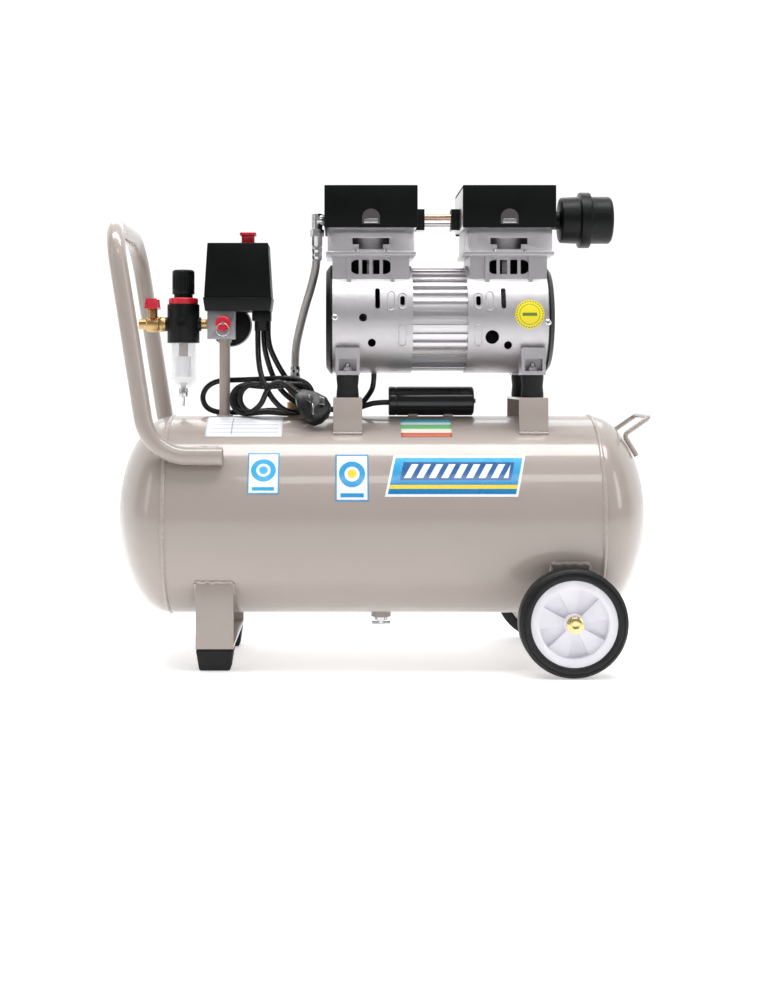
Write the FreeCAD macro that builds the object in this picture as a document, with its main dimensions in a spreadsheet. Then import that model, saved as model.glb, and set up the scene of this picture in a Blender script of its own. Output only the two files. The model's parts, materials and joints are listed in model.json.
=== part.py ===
import FreeCAD, Part
import math
import os

from FreeCAD import Vector
import Sketcher

# Twin-cylinder oil-free air compressor on a horizontal tank.
# Millimetres.  X runs from the handle to the wheels, -Y is the side with the
# labels, Z is up.  The origin is on the floor under the middle of the tank.

doc = FreeCAD.newDocument("Compressor")
sheet = doc.addObject("Spreadsheet::Sheet", "Sizes")

driving = {
    # tank
    "tank_radius": 125,
    "tank_wall": 3,
    "tank_height": 182.5,
    "seam_reach": 266,
    "head_depth": 66.5,
    # straps, feet and wheels
    "strap_thickness": 3,
    "strap_width": 46,
    "foot_station": -205,
    "foot_reach": 100,
    "foot_height": 27,
    "foot_length": 38,
    "foot_taper": 4,
    "wheel_station": 225,
    "wheel_clearance": 0.6,
    "wheel_strap_floor": 45,
    "wheel_radius": 65,
    "wheel_width": 30,
    "wheel_offset": 4,
    "rim_radius": 51.5,
    "rim_inner_radius": 41.5,
    "hub_radius": 12,
    "wheel_bolt_radius": 5,
    "running_gap": 0.05,
    "side_gap": 0.4,
    # handle and tow hook
    "handle_radius": 11,
    "handle_wall": 2,
    "handle_run_rise": 79.5,
    "handle_end": -194,
    "handle_heel": -283,
    "handle_top_station": -327,
    "handle_top_rise": 232.5,
    "handle_heel_bend": 55,
    "handle_top_bend": 48,
    "hook_radius": 3,
    "hook_half_width": 44,
    "hook_gap": 0.6,
    # air line
    "riser_station": -200,
    "riser_radius": 7,
    "riser_bore": 4,
    "manifold_station": -204,
    "manifold_width": 34,
    "riser_length": 98.5,
    "manifold_height": 35,
    "port_radius": 5,
    "regulator_station": -253,
    "regulator_radius": 20.5,
    "regulator_drop": 24,
    "regulator_height": 49,
    "port_rise": 19,
    "regulator_boss_reach": 22.5,
    "neck_radius": 12,
    "neck_length": 12.9,
    "collar_radius": 18.75,
    "collar_height": 8.5,
    "spindle_radius": 4,
    "dial_knob_radius": 14.2,
    "dial_knob_height": 31,
    "bowl_radius": 16.8,
    "bowl_length": 57.5,
    "bowl_wall": 2.2,
    "drain_nut_radius": 5.9,
    "ball_valve_radius": 10,
    "outlet_thread_radius": 6.58,
    "outlet_thread_length": 9,
    "lever_width": 17,
    "lever_reach": 16,
    "lever_height": 13,
    "safety_radius": 9.6,
    "ring_radius": 8,
    "wire_radius": 0.6,
    "gauge_radius": 27,
    "gauge_depth": 22,
    # pressure switch
    "switch_station": -181.7,
    "switch_length": 87,
    "switch_width": 68,
    "switch_base_height": 17,
    "cover_height": 69,
    "cover_wall": 2.5,
    "cover_taper": 4,
    "button_station": -170,
    "button_width": 16,
    "button_height": 15,
    "button_travel": 7,
    "gland_station": -151.5,
    "gland_radius": 10.5,
    # pump
    "pump_station": 72,
    "pump_rise": 71,
    "stator_radius": 65.7,
    "stator_half_length": 34,
    "fin_count": 36,
    "fin_depth": 5,
    "fin_gap_width": 7,
    "crankcase_radius": 68.5,
    "crankcase_wall": 4,
    "cylinder_offset": 86,
    "neck_block_width": 96,
    "neck_rise": 78,
    "cylinder_length": 108,
    "cylinder_width": 104,
    "cylinder_height": 36,
    "cylinder_bore": 32.5,
    "cover_length": 116,
    "cover_breadth": 120,
    "cover_overlap": 2,
    "head_cover_height": 53,
    "head_cover_wall": 2.5,
    "rotor_radius": 37.5,
    "air_gap": 0.6,
    "shaft_radius": 10,
    "crank_throw": 8,
    "crank_pin_radius": 18.6,
    "rod_length": 98,
    "piston_radius": 24,
    "guard_depth": 8,
    "fan_radius": 58,
    "mount_station": 115,
    "mount_offset": 52,
    "mount_radius": 14,
    "mount_height": 28,
    "bracket_reach": 68,
    "bracket_width": 36,
    "bracket_rise": 24.5,
    "capacitor_radius": 18.5,
    "capacitor_start": 9.5,
    "capacitor_length": 108.5,
    "capacitor_gap": 0.8,
    "filter_radius": 30,
    "filter_length": 66,
    "port_line_rise": 15,
    "valve_station": -111,
    "valve_offset": 34,
    "hose_radius": 5.25,
    # cables
    "cord_radius": 3.5,
}


class Size:
    # A cell of the sheet, or a sum of cells: its number now and its expression.
    def __init__(self, text, number):
        self.text = text
        self.number = float(number)

    def __float__(self):
        return self.number

    def __add__(self, other):
        return Size(f"({self.text} + {text_of(other)})", self.number + float(other))

    def __radd__(self, other):
        return Size(f"({text_of(other)} + {self.text})", float(other) + self.number)

    def __sub__(self, other):
        return Size(f"({self.text} - {text_of(other)})", self.number - float(other))

    def __rsub__(self, other):
        return Size(f"({text_of(other)} - {self.text})", float(other) - self.number)

    def __mul__(self, other):
        return Size(f"({self.text} * {text_of(other)})", self.number * float(other))

    def __rmul__(self, other):
        return Size(f"({text_of(other)} * {self.text})", float(other) * self.number)

    def __truediv__(self, other):
        return Size(f"({self.text} / {text_of(other)})", self.number / float(other))

    def __neg__(self):
        return Size(f"(0 - {self.text})", -self.number)


def text_of(value):
    if isinstance(value, Size):
        return value.text
    return f"({float(value):.6f})"


def square_root(value):
    return Size(f"sqrt({value.text})", math.sqrt(value.number))


class Sizes:
    pass


s = Sizes()
for row, (alias, number) in enumerate(driving.items(), start=1):
    sheet.set(f"A{row}", alias)
    sheet.set(f"B{row}", str(number))
    sheet.setAlias(f"B{row}", alias)
doc.recompute()
for alias in driving:
    setattr(s, alias, Size(f"Sizes.{alias}", sheet.get(alias)))

# Heights and reaches that follow from the sizes in the sheet.
tank_top = s.tank_height + s.tank_radius
wheel_top_gap = s.tank_height - s.wheel_radius * 2
s.wheel_strap_reach = square_root(s.tank_radius * s.tank_radius - wheel_top_gap * wheel_top_gap) + s.wheel_clearance
s.handle_run_height = s.tank_height + s.handle_run_rise
s.handle_top_height = tank_top + s.handle_top_rise
s.manifold_floor = tank_top + s.riser_length
s.port_height = s.manifold_floor + s.port_rise
s.regulator_floor = s.port_height - s.regulator_drop
s.bracket_top = tank_top + s.bracket_rise
s.pump_height = s.bracket_top + s.mount_height + s.pump_rise
s.crankcase_length = s.cylinder_offset + s.neck_block_width / 2 - s.stator_half_length
s.neck_top = s.pump_height + s.neck_rise
s.cover_floor = s.neck_top + s.cylinder_height - s.cover_overlap
s.cover_top = s.cover_floor + s.head_cover_height
s.port_line_height = s.cover_floor + s.port_line_rise

nodes = []

ALONG = {
    "+X": FreeCAD.Rotation(Vector(0, 0, 1), Vector(1, 0, 0)),
    "-X": FreeCAD.Rotation(Vector(0, 0, 1), Vector(-1, 0, 0)),
    "+Y": FreeCAD.Rotation(Vector(0, 0, 1), Vector(0, 1, 0)),
    "-Y": FreeCAD.Rotation(Vector(0, 0, 1), Vector(0, -1, 0)),
    "+Z": FreeCAD.Rotation(),
    "-Z": FreeCAD.Rotation(Vector(1, 0, 0), 180),
}
TURNED = {
    "+X": FreeCAD.Rotation(),
    "-X": FreeCAD.Rotation(Vector(0, 0, 1), 180),
    "+Y": FreeCAD.Rotation(Vector(0, 0, 1), 90),
    "-Y": FreeCAD.Rotation(Vector(0, 0, 1), -90),
    "+Z": FreeCAD.Rotation(Vector(0, 1, 0), -90),
    "-Z": FreeCAD.Rotation(Vector(0, 1, 0), 90),
}
FLAT = FreeCAD.Rotation()
UPRIGHT = FreeCAD.Rotation(Vector(1, 0, 0), 90)
ACROSS = FreeCAD.Rotation(Vector(0, 1, 0), Vector(0, 0, 1), Vector(1, 0, 0), "XYZ")


def bind(item, name, value):
    if isinstance(value, Size):
        item.setExpression(name, value.text)
    else:
        item.setExpression(name, text_of(value))


def place(item, point, rotation=FLAT):
    item.Placement = FreeCAD.Placement(Vector(*[float(part) for part in point]), rotation)
    for letter, part in zip("xyz", point):
        bind(item, f"Placement.Base.{letter}", part)
    return item


def node(label, item):
    item.Label = label
    nodes.append(item)
    return item


# ---------------------------------------------------------------- solids


def block(name, low, high):
    item = doc.addObject("Part::Box", name)
    for side, start, end in zip(("Length", "Width", "Height"), low, high):
        bind(item, side, end - start)
    return place(item, low)


def rod(name, start, along, length, radius):
    item = doc.addObject("Part::Cylinder", name)
    bind(item, "Height", length)
    bind(item, "Radius", radius)
    return place(item, start, ALONG[along])


def wedge(name, centre, length, width, height, top_length, top_width, turn=UPRIGHT):
    item = doc.addObject("Part::Wedge", name)
    limits = {
        "Xmin": -length / 2,
        "Xmax": length / 2,
        "Zmin": -width / 2,
        "Zmax": width / 2,
        "X2min": -top_length / 2,
        "X2max": top_length / 2,
        "Z2min": -top_width / 2,
        "Z2max": top_width / 2,
        "Ymin": 0,
        "Ymax": height,
    }
    for limit, value in limits.items():
        bind(item, limit, value)
    return place(item, centre, turn)


def fused(name, items):
    item = doc.addObject("Part::MultiFuse", name)
    item.Shapes = items
    item.Refine = True
    return item


def common(name, items):
    item = doc.addObject("Part::MultiCommon", name)
    item.Shapes = items
    return item


def grouped(name, items):
    item = doc.addObject("Part::Compound", name)
    item.Links = items
    return item


def cut(name, base, tools):
    item = doc.addObject("Part::Cut", name)
    item.Base = base
    item.Tool = tools[0] if len(tools) == 1 else fused(name + "_tools", tools)
    item.Refine = True
    return item


def outline(body, name, points):
    plane = [one for one in body.Origin.OriginFeatures if one.Role == "XY_Plane"][0]
    sketch = body.newObject("Sketcher::SketchObject", name)
    sketch.AttachmentSupport = [(plane, "")]
    sketch.MapMode = "FlatFace"
    corners = [Vector(float(a), float(b), 0) for a, b in points]
    count = len(corners)
    for index in range(count):
        edge = Part.LineSegment(corners[index], corners[(index + 1) % count])
        sketch.addGeometry(edge, False)
    for index in range(count):
        joint = Sketcher.Constraint("Coincident", index, 2, (index + 1) % count, 1)
        sketch.addConstraint(joint)
    for index, (first, second) in enumerate(points):
        for kind, value in (("DistanceX", first), ("DistanceY", second)):
            rule = Sketcher.Constraint(kind, -1, 1, index, 1, float(value))
            number = sketch.addConstraint(rule)
            bind(sketch, f"Constraints[{number}]", value)
    return sketch


def turned(name, start, along, points):
    # A solid of revolution: each point is (distance along the axis, radius).
    body = doc.addObject("PartDesign::Body", name)
    sketch = outline(body, name + "_outline", points)
    spin = body.newObject("PartDesign::Revolution", name + "_turned")
    spin.Profile = sketch
    spin.ReferenceAxis = (sketch, ["H_Axis"])
    spin.Angle = 360
    return place(body, start, TURNED[along])


def extruded(name, start, rotation, depth, points):
    body = doc.addObject("PartDesign::Body", name)
    sketch = outline(body, name + "_outline", points)
    pad = body.newObject("PartDesign::Pad", name + "_pad")
    pad.Profile = sketch
    bind(pad, "Length", depth)
    return place(body, start, rotation)


def hexagon(name, start, along, length, across_flats):
    item = doc.addObject("Part::Prism", name)
    item.Polygon = 6
    bind(item, "Circumradius", across_flats / math.sqrt(3))
    bind(item, "Height", length)
    return place(item, start, ALONG[along])


# ---------------------------------------------------------------- routes


def stretched(points, floor, low, high, new_low, new_high):
    # Points above floor spread between two heights; those below it moved with the tank's crown.
    lift = float(tank_top) - 307.5
    spread = (float(new_high) - float(new_low)) / (high - low)
    moved = []
    for x, y, z in points:
        rise = float(new_low) + (z - low) * spread if z > floor else z + lift
        moved.append((x, y, rise))
    return moved


def route(points, bends=None):
    # Straight runs joined by tangent arcs; bends gives each corner's radius, and
    # without it each arc takes 0.45 of the shorter run beside it.
    points = [Vector(*[float(part) for part in point]) for point in points]
    runs = [points[i + 1] - points[i] for i in range(len(points) - 1)]
    pieces = []
    radii = []
    start = points[0]
    for index in range(1, len(points) - 1):
        before = Vector(runs[index - 1]).normalize()
        after = Vector(runs[index]).normalize()
        half = before.getAngle(after) / 2
        shorter = min(runs[index - 1].Length, runs[index].Length)
        radius = bends[index - 1] if bends else 0.45 * shorter / math.tan(half)
        trim = radius * math.tan(half)
        corner = points[index]
        entry = corner - before * trim
        leave = corner + after * trim
        inward = (after - before).normalize()
        middle = corner + inward * (radius / math.cos(half) - radius)
        pieces.append(Part.LineSegment(start, entry).toShape())
        pieces.append(Part.Arc(entry, middle, leave).toShape())
        radii.append(round(radius, 1))
        start = leave
    pieces.append(Part.LineSegment(start, points[-1]).toShape())
    return Part.Wire(pieces), radii


def swept(path, radius):
    first = path.Edges[0]
    circle = Part.Circle(first.valueAt(first.FirstParameter), first.tangentAt(first.FirstParameter),
                         radius)
    return path.makePipeShell([Part.Wire(circle.toShape())], True, False)


def tube(name, points, radius, bends=None, wall=None):
    path, radii = route(points, bends)
    shape = swept(path, float(radius))
    section = math.pi * float(radius) ** 2
    share = shape.Volume / (section * path.Length)
    print(f"{name}: {path.Length:.0f} mm, radii {radii}, volume / (section * length) {share:.4f}")
    if wall:
        shape = shape.cut(swept(path, float(radius) - float(wall)))
    return shape


def feature(name, shape):
    item = doc.addObject("Part::Feature", name)
    item.Shape = shape
    return item


# ---------------------------------------------------------------- tank

tank_axis = (-s.seam_reach, 0, s.tank_height)
tank_floor = s.tank_height - s.tank_radius


def tank_solid(name):
    return rod(name, (-s.seam_reach - s.head_depth, 0, s.tank_height), "+X",
               (s.seam_reach + s.head_depth) * 2, s.tank_radius)


def tank_crown(offset):
    return s.tank_height + square_root(s.tank_radius * s.tank_radius - offset * offset)


bung_radius = 13
bung_bore = 6
bung_top = tank_crown(s.valve_offset) + 6
drain_bung_floor = tank_floor - 6

shell_outer = rod("shell_outer", tank_axis, "+X", s.seam_reach * 2, s.tank_radius)
valve_bung = rod("valve_bung", (s.valve_station, s.valve_offset, s.tank_height), "+Z",
                 bung_top - s.tank_height, bung_radius)
drain_bung = rod("drain_bung", (0, 0, drain_bung_floor), "+Z", s.tank_height - drain_bung_floor,
                 bung_radius)
shell_inner = rod("shell_inner", tank_axis, "+X", s.seam_reach * 2, s.tank_radius - s.tank_wall)
valve_port = rod("valve_port", (s.valve_station, s.valve_offset, s.tank_height), "+Z",
                 bung_top - s.tank_height, bung_bore)
drain_port = rod("drain_port", (0, 0, drain_bung_floor), "+Z", s.tank_radius, bung_bore)
riser_port = rod("riser_port", (s.riser_station, 0, s.tank_height), "+Z", s.tank_radius + 1, s.riser_bore)
shell_solid = fused("shell_solid", [shell_outer, valve_bung, drain_bung])
node("tank_shell", cut("tank_shell", shell_solid, [shell_inner, valve_port, drain_port, riser_port]))


def dished(name, depth, radius, station):
    item = doc.addObject("Part::Ellipsoid", name)
    bind(item, "Radius1", depth)
    bind(item, "Radius2", radius)
    bind(item, "Radius3", radius)
    item.Angle1 = 0
    return place(item, (station, 0, s.tank_height), ALONG["+X"] if float(station) > 0 else ALONG["-X"])


for side, station in (("left", -s.seam_reach), ("right", s.seam_reach)):
    label = f"tank_head_{side}"
    crown = dished(label + "_outer", s.head_depth, s.tank_radius, station)
    hollow = dished(label + "_inner", s.head_depth - s.tank_wall, s.tank_radius - s.tank_wall, station)
    node(label, cut(label, crown, [hollow]))

# ---------------------------------------------------------------- straps, feet, wheels

strap_rise = s.tank_height - s.tank_radius / 2


def strap(name, station, reach, floor):
    points = [
        (-reach, floor),
        (reach, floor),
        (reach, strap_rise),
        (reach - s.strap_thickness, strap_rise),
        (reach - s.strap_thickness, floor + s.strap_thickness),
        (s.strap_thickness - reach, floor + s.strap_thickness),
        (s.strap_thickness - reach, strap_rise),
        (-reach, strap_rise),
    ]
    return extruded(name, (station - s.strap_width / 2, 0, 0), ACROSS, s.strap_width, points)


foot_u = strap("foot_u", s.foot_station, s.foot_reach, s.foot_height)
node("foot_strap", cut("foot_strap", foot_u, [tank_solid("foot_strap_tank")]))

wheel_u = strap("wheel_u", s.wheel_station, s.wheel_strap_reach, s.wheel_strap_floor)
axle_hole = rod("axle_hole", (s.wheel_station, -s.wheel_strap_reach, s.wheel_radius), "+Y",
                s.wheel_strap_reach * 2, s.wheel_bolt_radius + s.running_gap)
node("wheel_strap", cut("wheel_strap", wheel_u, [tank_solid("wheel_strap_tank"), axle_hole]))

feet = []
for side in (-1, 1):
    middle = side * (s.foot_reach - s.foot_length / 2)
    foot = wedge(f"foot_{side + 2}", (s.foot_station, middle, 0), s.strap_width - s.foot_taper * 2,
                 s.foot_length - s.foot_taper * 2, s.foot_height, s.strap_width, s.foot_length)
    feet.append(foot)
node("rubber_feet", grouped("rubber_feet", feet))

wheel_inner = s.wheel_strap_reach + s.wheel_offset
tread_shoulder = 4
tread_bead = 7
web_start = 11
web_thickness = 6
raised_step = 5
raised_sweep = 36
spoke_count = 5
bolts = []
for side, along in (("near", "-Y"), ("far", "+Y")):
    sign = -1 if side == "near" else 1
    hub_face = (s.wheel_station, sign * wheel_inner, s.wheel_radius)
    tyre_points = [
        (1, s.rim_radius),
        (s.wheel_width - 1, s.rim_radius),
        (s.wheel_width, s.rim_radius + 2),
        (s.wheel_width, s.wheel_radius - tread_bead),
        (s.wheel_width - tread_shoulder, s.wheel_radius),
        (tread_shoulder, s.wheel_radius),
        (0, s.wheel_radius - tread_bead),
        (0, s.rim_radius + 2),
    ]
    node(f"tyre_{side}", turned(f"tyre_{side}", hub_face, along, tyre_points))
    bore = s.wheel_bolt_radius + s.running_gap
    rim_points = [
        (0, bore),
        (s.wheel_width, bore),
        (s.wheel_width, s.hub_radius),
        (web_start + web_thickness, s.hub_radius),
        (web_start + web_thickness, s.rim_inner_radius),
        (s.wheel_width - 2, s.rim_inner_radius),
        (s.wheel_width - 2, s.rim_radius),
        (2, s.rim_radius),
        (2, s.rim_inner_radius),
        (web_start, s.rim_inner_radius),
        (web_start, s.hub_radius),
        (0, s.hub_radius),
    ]
    rim = turned(f"rim_{side}", hub_face, along, rim_points)
    sectors = []
    for index in range(spoke_count):
        sector = rod(f"sector_{side}_{index}",
                     (s.wheel_station, sign * (wheel_inner + web_start + web_thickness), s.wheel_radius),
                     along, raised_step, s.rim_inner_radius)
        sector.Angle = raised_sweep
        spin = FreeCAD.Rotation(Vector(0, 1, 0), -8 + index * 360 / spoke_count)
        sector.Placement = FreeCAD.Placement(sector.Placement.Base, spin.multiply(ALONG[along]))
        sectors.append(sector)
    hub_space = rod(f"hub_space_{side}", (s.wheel_station, sign * wheel_inner, s.wheel_radius), along,
                    s.wheel_width, s.hub_radius - 1)
    raised = cut(f"raised_{side}", fused(f"sectors_{side}", sectors), [hub_space])
    node(f"wheel_rim_{side}", fused(f"wheel_rim_{side}", [rim, raised]))
    plate_inner = s.wheel_strap_reach - s.strap_thickness
    bolt_points = [
        (-8, 0),
        (s.wheel_width + s.wheel_offset + s.strap_thickness + 5, 0),
        (s.wheel_width + s.wheel_offset + s.strap_thickness + 5, 7),
        (s.wheel_width + s.wheel_offset + s.strap_thickness + 3, 10),
        (s.wheel_width + s.wheel_offset + s.strap_thickness + s.side_gap, 10),
        (s.wheel_width + s.wheel_offset + s.strap_thickness + s.side_gap, s.wheel_bolt_radius),
        (s.wheel_offset + s.strap_thickness - s.side_gap, s.wheel_bolt_radius),
        (s.wheel_offset + s.strap_thickness - s.side_gap, 8),
        (s.strap_thickness, 8),
        (s.strap_thickness, s.wheel_bolt_radius),
        (0, s.wheel_bolt_radius),
        (0, 8.5),
        (-8, 8.5),
    ]
    bolts.append(turned(f"bolt_{side}", (s.wheel_station, sign * plate_inner, s.wheel_radius), along,
                        bolt_points))
node("wheel_bolts", grouped("wheel_bolts", bolts))

# ---------------------------------------------------------------- handle and tow hook

reach = s.tank_radius + s.handle_radius
handle_rise = s.handle_run_height - s.tank_height
handle_side = square_root(reach * reach - handle_rise * handle_rise)
handle_half = [
    (s.handle_end, -handle_side, s.handle_run_height),
    (s.handle_heel, -handle_side, s.handle_run_height),
    (s.handle_top_station, -handle_side, s.handle_top_height),
]
handle_points = handle_half + [(x, -y, z) for x, y, z in reversed(handle_half)]
heel_bend = float(s.handle_heel_bend)
top_bend = float(s.handle_top_bend)
handle_bends = [heel_bend, top_bend, top_bend, heel_bend]
handle_shape = tube("handle_tube", handle_points, s.handle_radius, handle_bends, s.handle_wall)
node("handle_tube", feature("handle_tube", handle_shape))


def dome_station(offset, height, gap):
    # Where a rod lying on the right head has its centre, at this offset and height.
    depth = float(s.head_depth) + gap
    radius = float(s.tank_radius) + gap
    away = math.hypot(float(offset), height - float(s.tank_height))
    return float(s.seam_reach) + depth * math.sqrt(1 - (away / radius) ** 2)


hook_clear = float(s.hook_radius) + float(s.hook_gap) + 1.4
hook_foot = 259
hook_bend = 285
hook_half = [
    (dome_station(s.hook_half_width, hook_foot, hook_clear), -s.hook_half_width, hook_foot),
    (dome_station(s.hook_half_width, hook_bend, hook_clear), -s.hook_half_width, hook_bend),
    (s.seam_reach + s.head_depth + 2, -s.hook_half_width, hook_bend + 22),
]
hook_points = hook_half + [(x, -y, z) for x, y, z in reversed(hook_half)]
node("tow_hook", feature("tow_hook", tube("tow_hook", hook_points, s.hook_radius, [6, 8, 8, 6])))

# ---------------------------------------------------------------- drain screw

screw_points = [
    (0, 0),
    (22, 0),
    (22, bung_bore - s.running_gap),
    (10.4, bung_bore - s.running_gap),
    (10.4, 9),
    (6, 9),
    (6, 4),
    (0, 4),
]
drain_head = turned("drain_head", (0, 0, drain_bung_floor - 10.8), "+Z", screw_points)
drain_bar = rod("drain_bar", (-12, 0, drain_bung_floor - 8.5), "+X", 24, 2)
node("drain_screw", fused("drain_screw", [drain_head, drain_bar]))

# ---------------------------------------------------------------- air line

riser_top = s.manifold_floor
riser_nut = 4
riser_stub = 6
riser_points = [
    (0, s.riser_bore),
    (riser_top - tank_top + 20 + riser_stub, s.riser_bore),
    (riser_top - tank_top + 20 + riser_stub, s.port_radius + 1),
    (riser_top - tank_top + 20, s.port_radius + 1),
    (riser_top - tank_top + 20, s.riser_radius + 1.5),
    (riser_top - tank_top + 20 - riser_nut, s.riser_radius + 1.5),
    (riser_top - tank_top + 20 - riser_nut, s.riser_radius),
    (0, s.riser_radius),
]
riser = turned("riser", (s.riser_station, 0, tank_top - 20), "+Z", riser_points)
node("riser_pipe", cut("riser_pipe", riser, [tank_solid("riser_tank")]))

half = s.manifold_width / 2
manifold_top = s.manifold_floor + s.manifold_height
manifold_box = block("manifold_box", (s.manifold_station - half, -half, s.manifold_floor),
                     (s.manifold_station + half, half, manifold_top))
gauge_station = s.manifold_station + 8
manifold_bores = [
    rod("bore_riser", (s.riser_station, 0, s.manifold_floor), "+Z", s.manifold_height, s.port_radius + 1),
    rod("bore_line", (s.manifold_station - half, 0, s.port_height), "+X", half, s.port_radius),
    rod("bore_safety", (s.riser_station, -half, s.port_height), "+Y", half, s.port_radius),
    rod("bore_gauge", (gauge_station, half, s.port_height), "-Y", half, s.port_radius),
]
node("manifold_block", cut("manifold_block", manifold_box, manifold_bores))

nipple_start = s.regulator_station + s.regulator_boss_reach
nipple_end = s.manifold_station - half
stub = 7
nipple_points = [
    (-stub, 2.5),
    (nipple_end - nipple_start + stub, 2.5),
    (nipple_end - nipple_start + stub, s.port_radius),
    (nipple_end - nipple_start, s.port_radius),
    (nipple_end - nipple_start, 6.5),
    (0, 6.5),
    (0, s.port_radius),
    (-stub, s.port_radius),
]
node("inlet_nipple", turned("inlet_nipple", (nipple_start, 0, s.port_height), "+X", nipple_points))

regulator_top = s.regulator_floor + s.regulator_height
element_seat = 6
body_points = [
    (0, 0),
    (0, s.regulator_radius),
    (s.regulator_height, s.regulator_radius),
    (s.regulator_height, s.neck_radius),
    (s.regulator_height + s.neck_length, s.neck_radius),
    (s.regulator_height + s.neck_length, 0),
]
regulator_case = turned("regulator_case", (s.regulator_station, 0, s.regulator_floor), "+Z", body_points)
line_boss = rod("line_boss", (s.regulator_station - s.regulator_boss_reach, 0, s.port_height), "+X",
                s.regulator_boss_reach * 2, 9)
gauge_boss = rod("gauge_boss", (s.regulator_station, -s.regulator_radius - 2.5, s.port_height + 2), "+Y",
                 s.regulator_radius + 2.5, 8)
boss_recess = rod("boss_recess", (s.regulator_station, -s.regulator_radius - 2.5, s.port_height + 2),
                  "+Y", 2, 5)
spindle_bore = rod("spindle_bore", (s.regulator_station, 0, regulator_top - 15), "+Z",
                   s.neck_length + 15, s.spindle_radius + s.running_gap)
inlet_bore = rod("inlet_bore", (s.regulator_station + s.regulator_boss_reach, 0, s.port_height), "-X",
                 stub + 2, s.port_radius)
outlet_bore = rod("outlet_bore", (s.regulator_station - s.regulator_boss_reach, 0, s.port_height), "+X",
                  stub + 2, s.port_radius)
element_bore = rod("element_bore", (s.regulator_station, 0, s.regulator_floor), "+Z", element_seat, 6)
regulator_solid = fused("regulator_solid", [regulator_case, line_boss, gauge_boss])
node("regulator_body", cut("regulator_body", regulator_solid,
                           [boss_recess, spindle_bore, inlet_bore, outlet_bore, element_bore]))

collar_points = [
    (0, s.neck_radius),
    (s.collar_height, s.neck_radius),
    (s.collar_height, s.collar_radius - 1.5),
    (s.collar_height - 1.5, s.collar_radius),
    (0, s.collar_radius),
]
node("regulator_collar",
     turned("regulator_collar", (s.regulator_station, 0, regulator_top), "+Z", collar_points))

neck_end = regulator_top + s.neck_length
knob_floor = neck_end + s.side_gap
spindle_below = 12
spindle_above = 18
knob_slack = 0.3
node("regulator_spindle",
     rod("regulator_spindle", (s.regulator_station, 0, neck_end - spindle_below), "+Z",
                              spindle_below + spindle_above, s.spindle_radius))
knob_points = [
    (0, s.spindle_radius + s.running_gap),
    (0, s.dial_knob_radius),
    (s.dial_knob_height - 2, s.dial_knob_radius),
    (s.dial_knob_height, s.dial_knob_radius - 2),
    (s.dial_knob_height, 0),
    (spindle_above + knob_slack, 0),
    (spindle_above + knob_slack, s.spindle_radius + s.running_gap),
]
knob_blank = turned("knob_blank", (s.regulator_station, 0, knob_floor), "+Z", knob_points)
ribs = []
rib_count = 24
for index in range(rib_count):
    angle = math.radians(index * 360 / rib_count)
    groove = rod(f"rib_{index}", (s.regulator_station + (s.dial_knob_radius + 0.5) * math.cos(angle),
                                  (s.dial_knob_radius + 0.5) * math.sin(angle), knob_floor + 6), "+Z",
                 s.dial_knob_height - 12, 1.2)
    ribs.append(groove)
node("regulator_knob", cut("regulator_knob", knob_blank, ribs))

bowl_taper = 10
bowl_points = [
    (0, s.bowl_radius - s.bowl_wall),
    (0, s.bowl_radius),
    (s.bowl_length - bowl_taper, s.bowl_radius),
    (s.bowl_length - bowl_taper / 3, s.bowl_radius * 0.7),
    (s.bowl_length, s.drain_nut_radius + 1),
    (s.bowl_length, 3.2),
    (s.bowl_length - s.bowl_wall - 1, 3.2),
    (s.bowl_length - bowl_taper / 3 - s.bowl_wall, s.bowl_radius * 0.7 - s.bowl_wall),
    (s.bowl_length - bowl_taper - 1, s.bowl_radius - s.bowl_wall),
]
node("filter_bowl", turned("filter_bowl", (s.regulator_station, 0, s.regulator_floor), "-Z", bowl_points))

element_points = [
    (-element_seat + 0.5, 0),
    (-element_seat + 0.5, 5.9),
    (17, 5.9),
    (17, 10),
    (s.bowl_length - 14, 10),
    (s.bowl_length - 14, 0),
]
node("filter_element",
     turned("filter_element", (s.regulator_station, 0, s.regulator_floor), "-Z", element_points))

bowl_end = s.regulator_floor - s.bowl_length
drain_points = [
    (-7, 0),
    (-7, 4.5),
    (-4.2, 4.5),
    (-4.2, 3.2 - s.running_gap),
    (s.side_gap, 3.2 - s.running_gap),
    (s.side_gap, s.drain_nut_radius),
    (11, s.drain_nut_radius),
    (11, 2),
    (23, 2),
    (23, 0),
]
node("bowl_drain", turned("bowl_drain", (s.regulator_station, 0, bowl_end), "-Z", drain_points))

valve_face = s.regulator_station - s.regulator_boss_reach
valve_length = 34
valve_points = [
    (-stub, 2.5),
    (valve_length, 2.5),
    (valve_length, s.outlet_thread_radius),
    (valve_length - s.outlet_thread_length, s.outlet_thread_radius),
    (valve_length - s.outlet_thread_length, 8.5),
    (valve_length - s.outlet_thread_length - 3, s.ball_valve_radius),
    (9, s.ball_valve_radius),
    (7, 8),
    (7, 9.5),
    (0, 9.5),
    (0, s.port_radius),
    (-stub, s.port_radius),
]
valve_case = turned("valve_case", (valve_face, 0, s.port_height), "-X", valve_points)
lever_station = valve_face - 17
lever_floor = s.port_height + s.ball_valve_radius + 9
stem_radius = 3
valve_neck = rod("valve_neck", (lever_station, 0, s.port_height), "+Z", lever_floor - s.port_height, 6.5)
stem_bore = rod("stem_bore", (lever_station, 0, s.port_height + 2.5), "+Z", s.ball_valve_radius + 9,
                stem_radius + s.running_gap)
line_bore = rod("line_bore", (valve_face + stub, 0, s.port_height), "-X", valve_length + stub, 2.5)
node("ball_valve_body",
     cut("ball_valve_body", fused("valve_solid", [valve_case, valve_neck]), [stem_bore, line_bore]))

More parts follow.
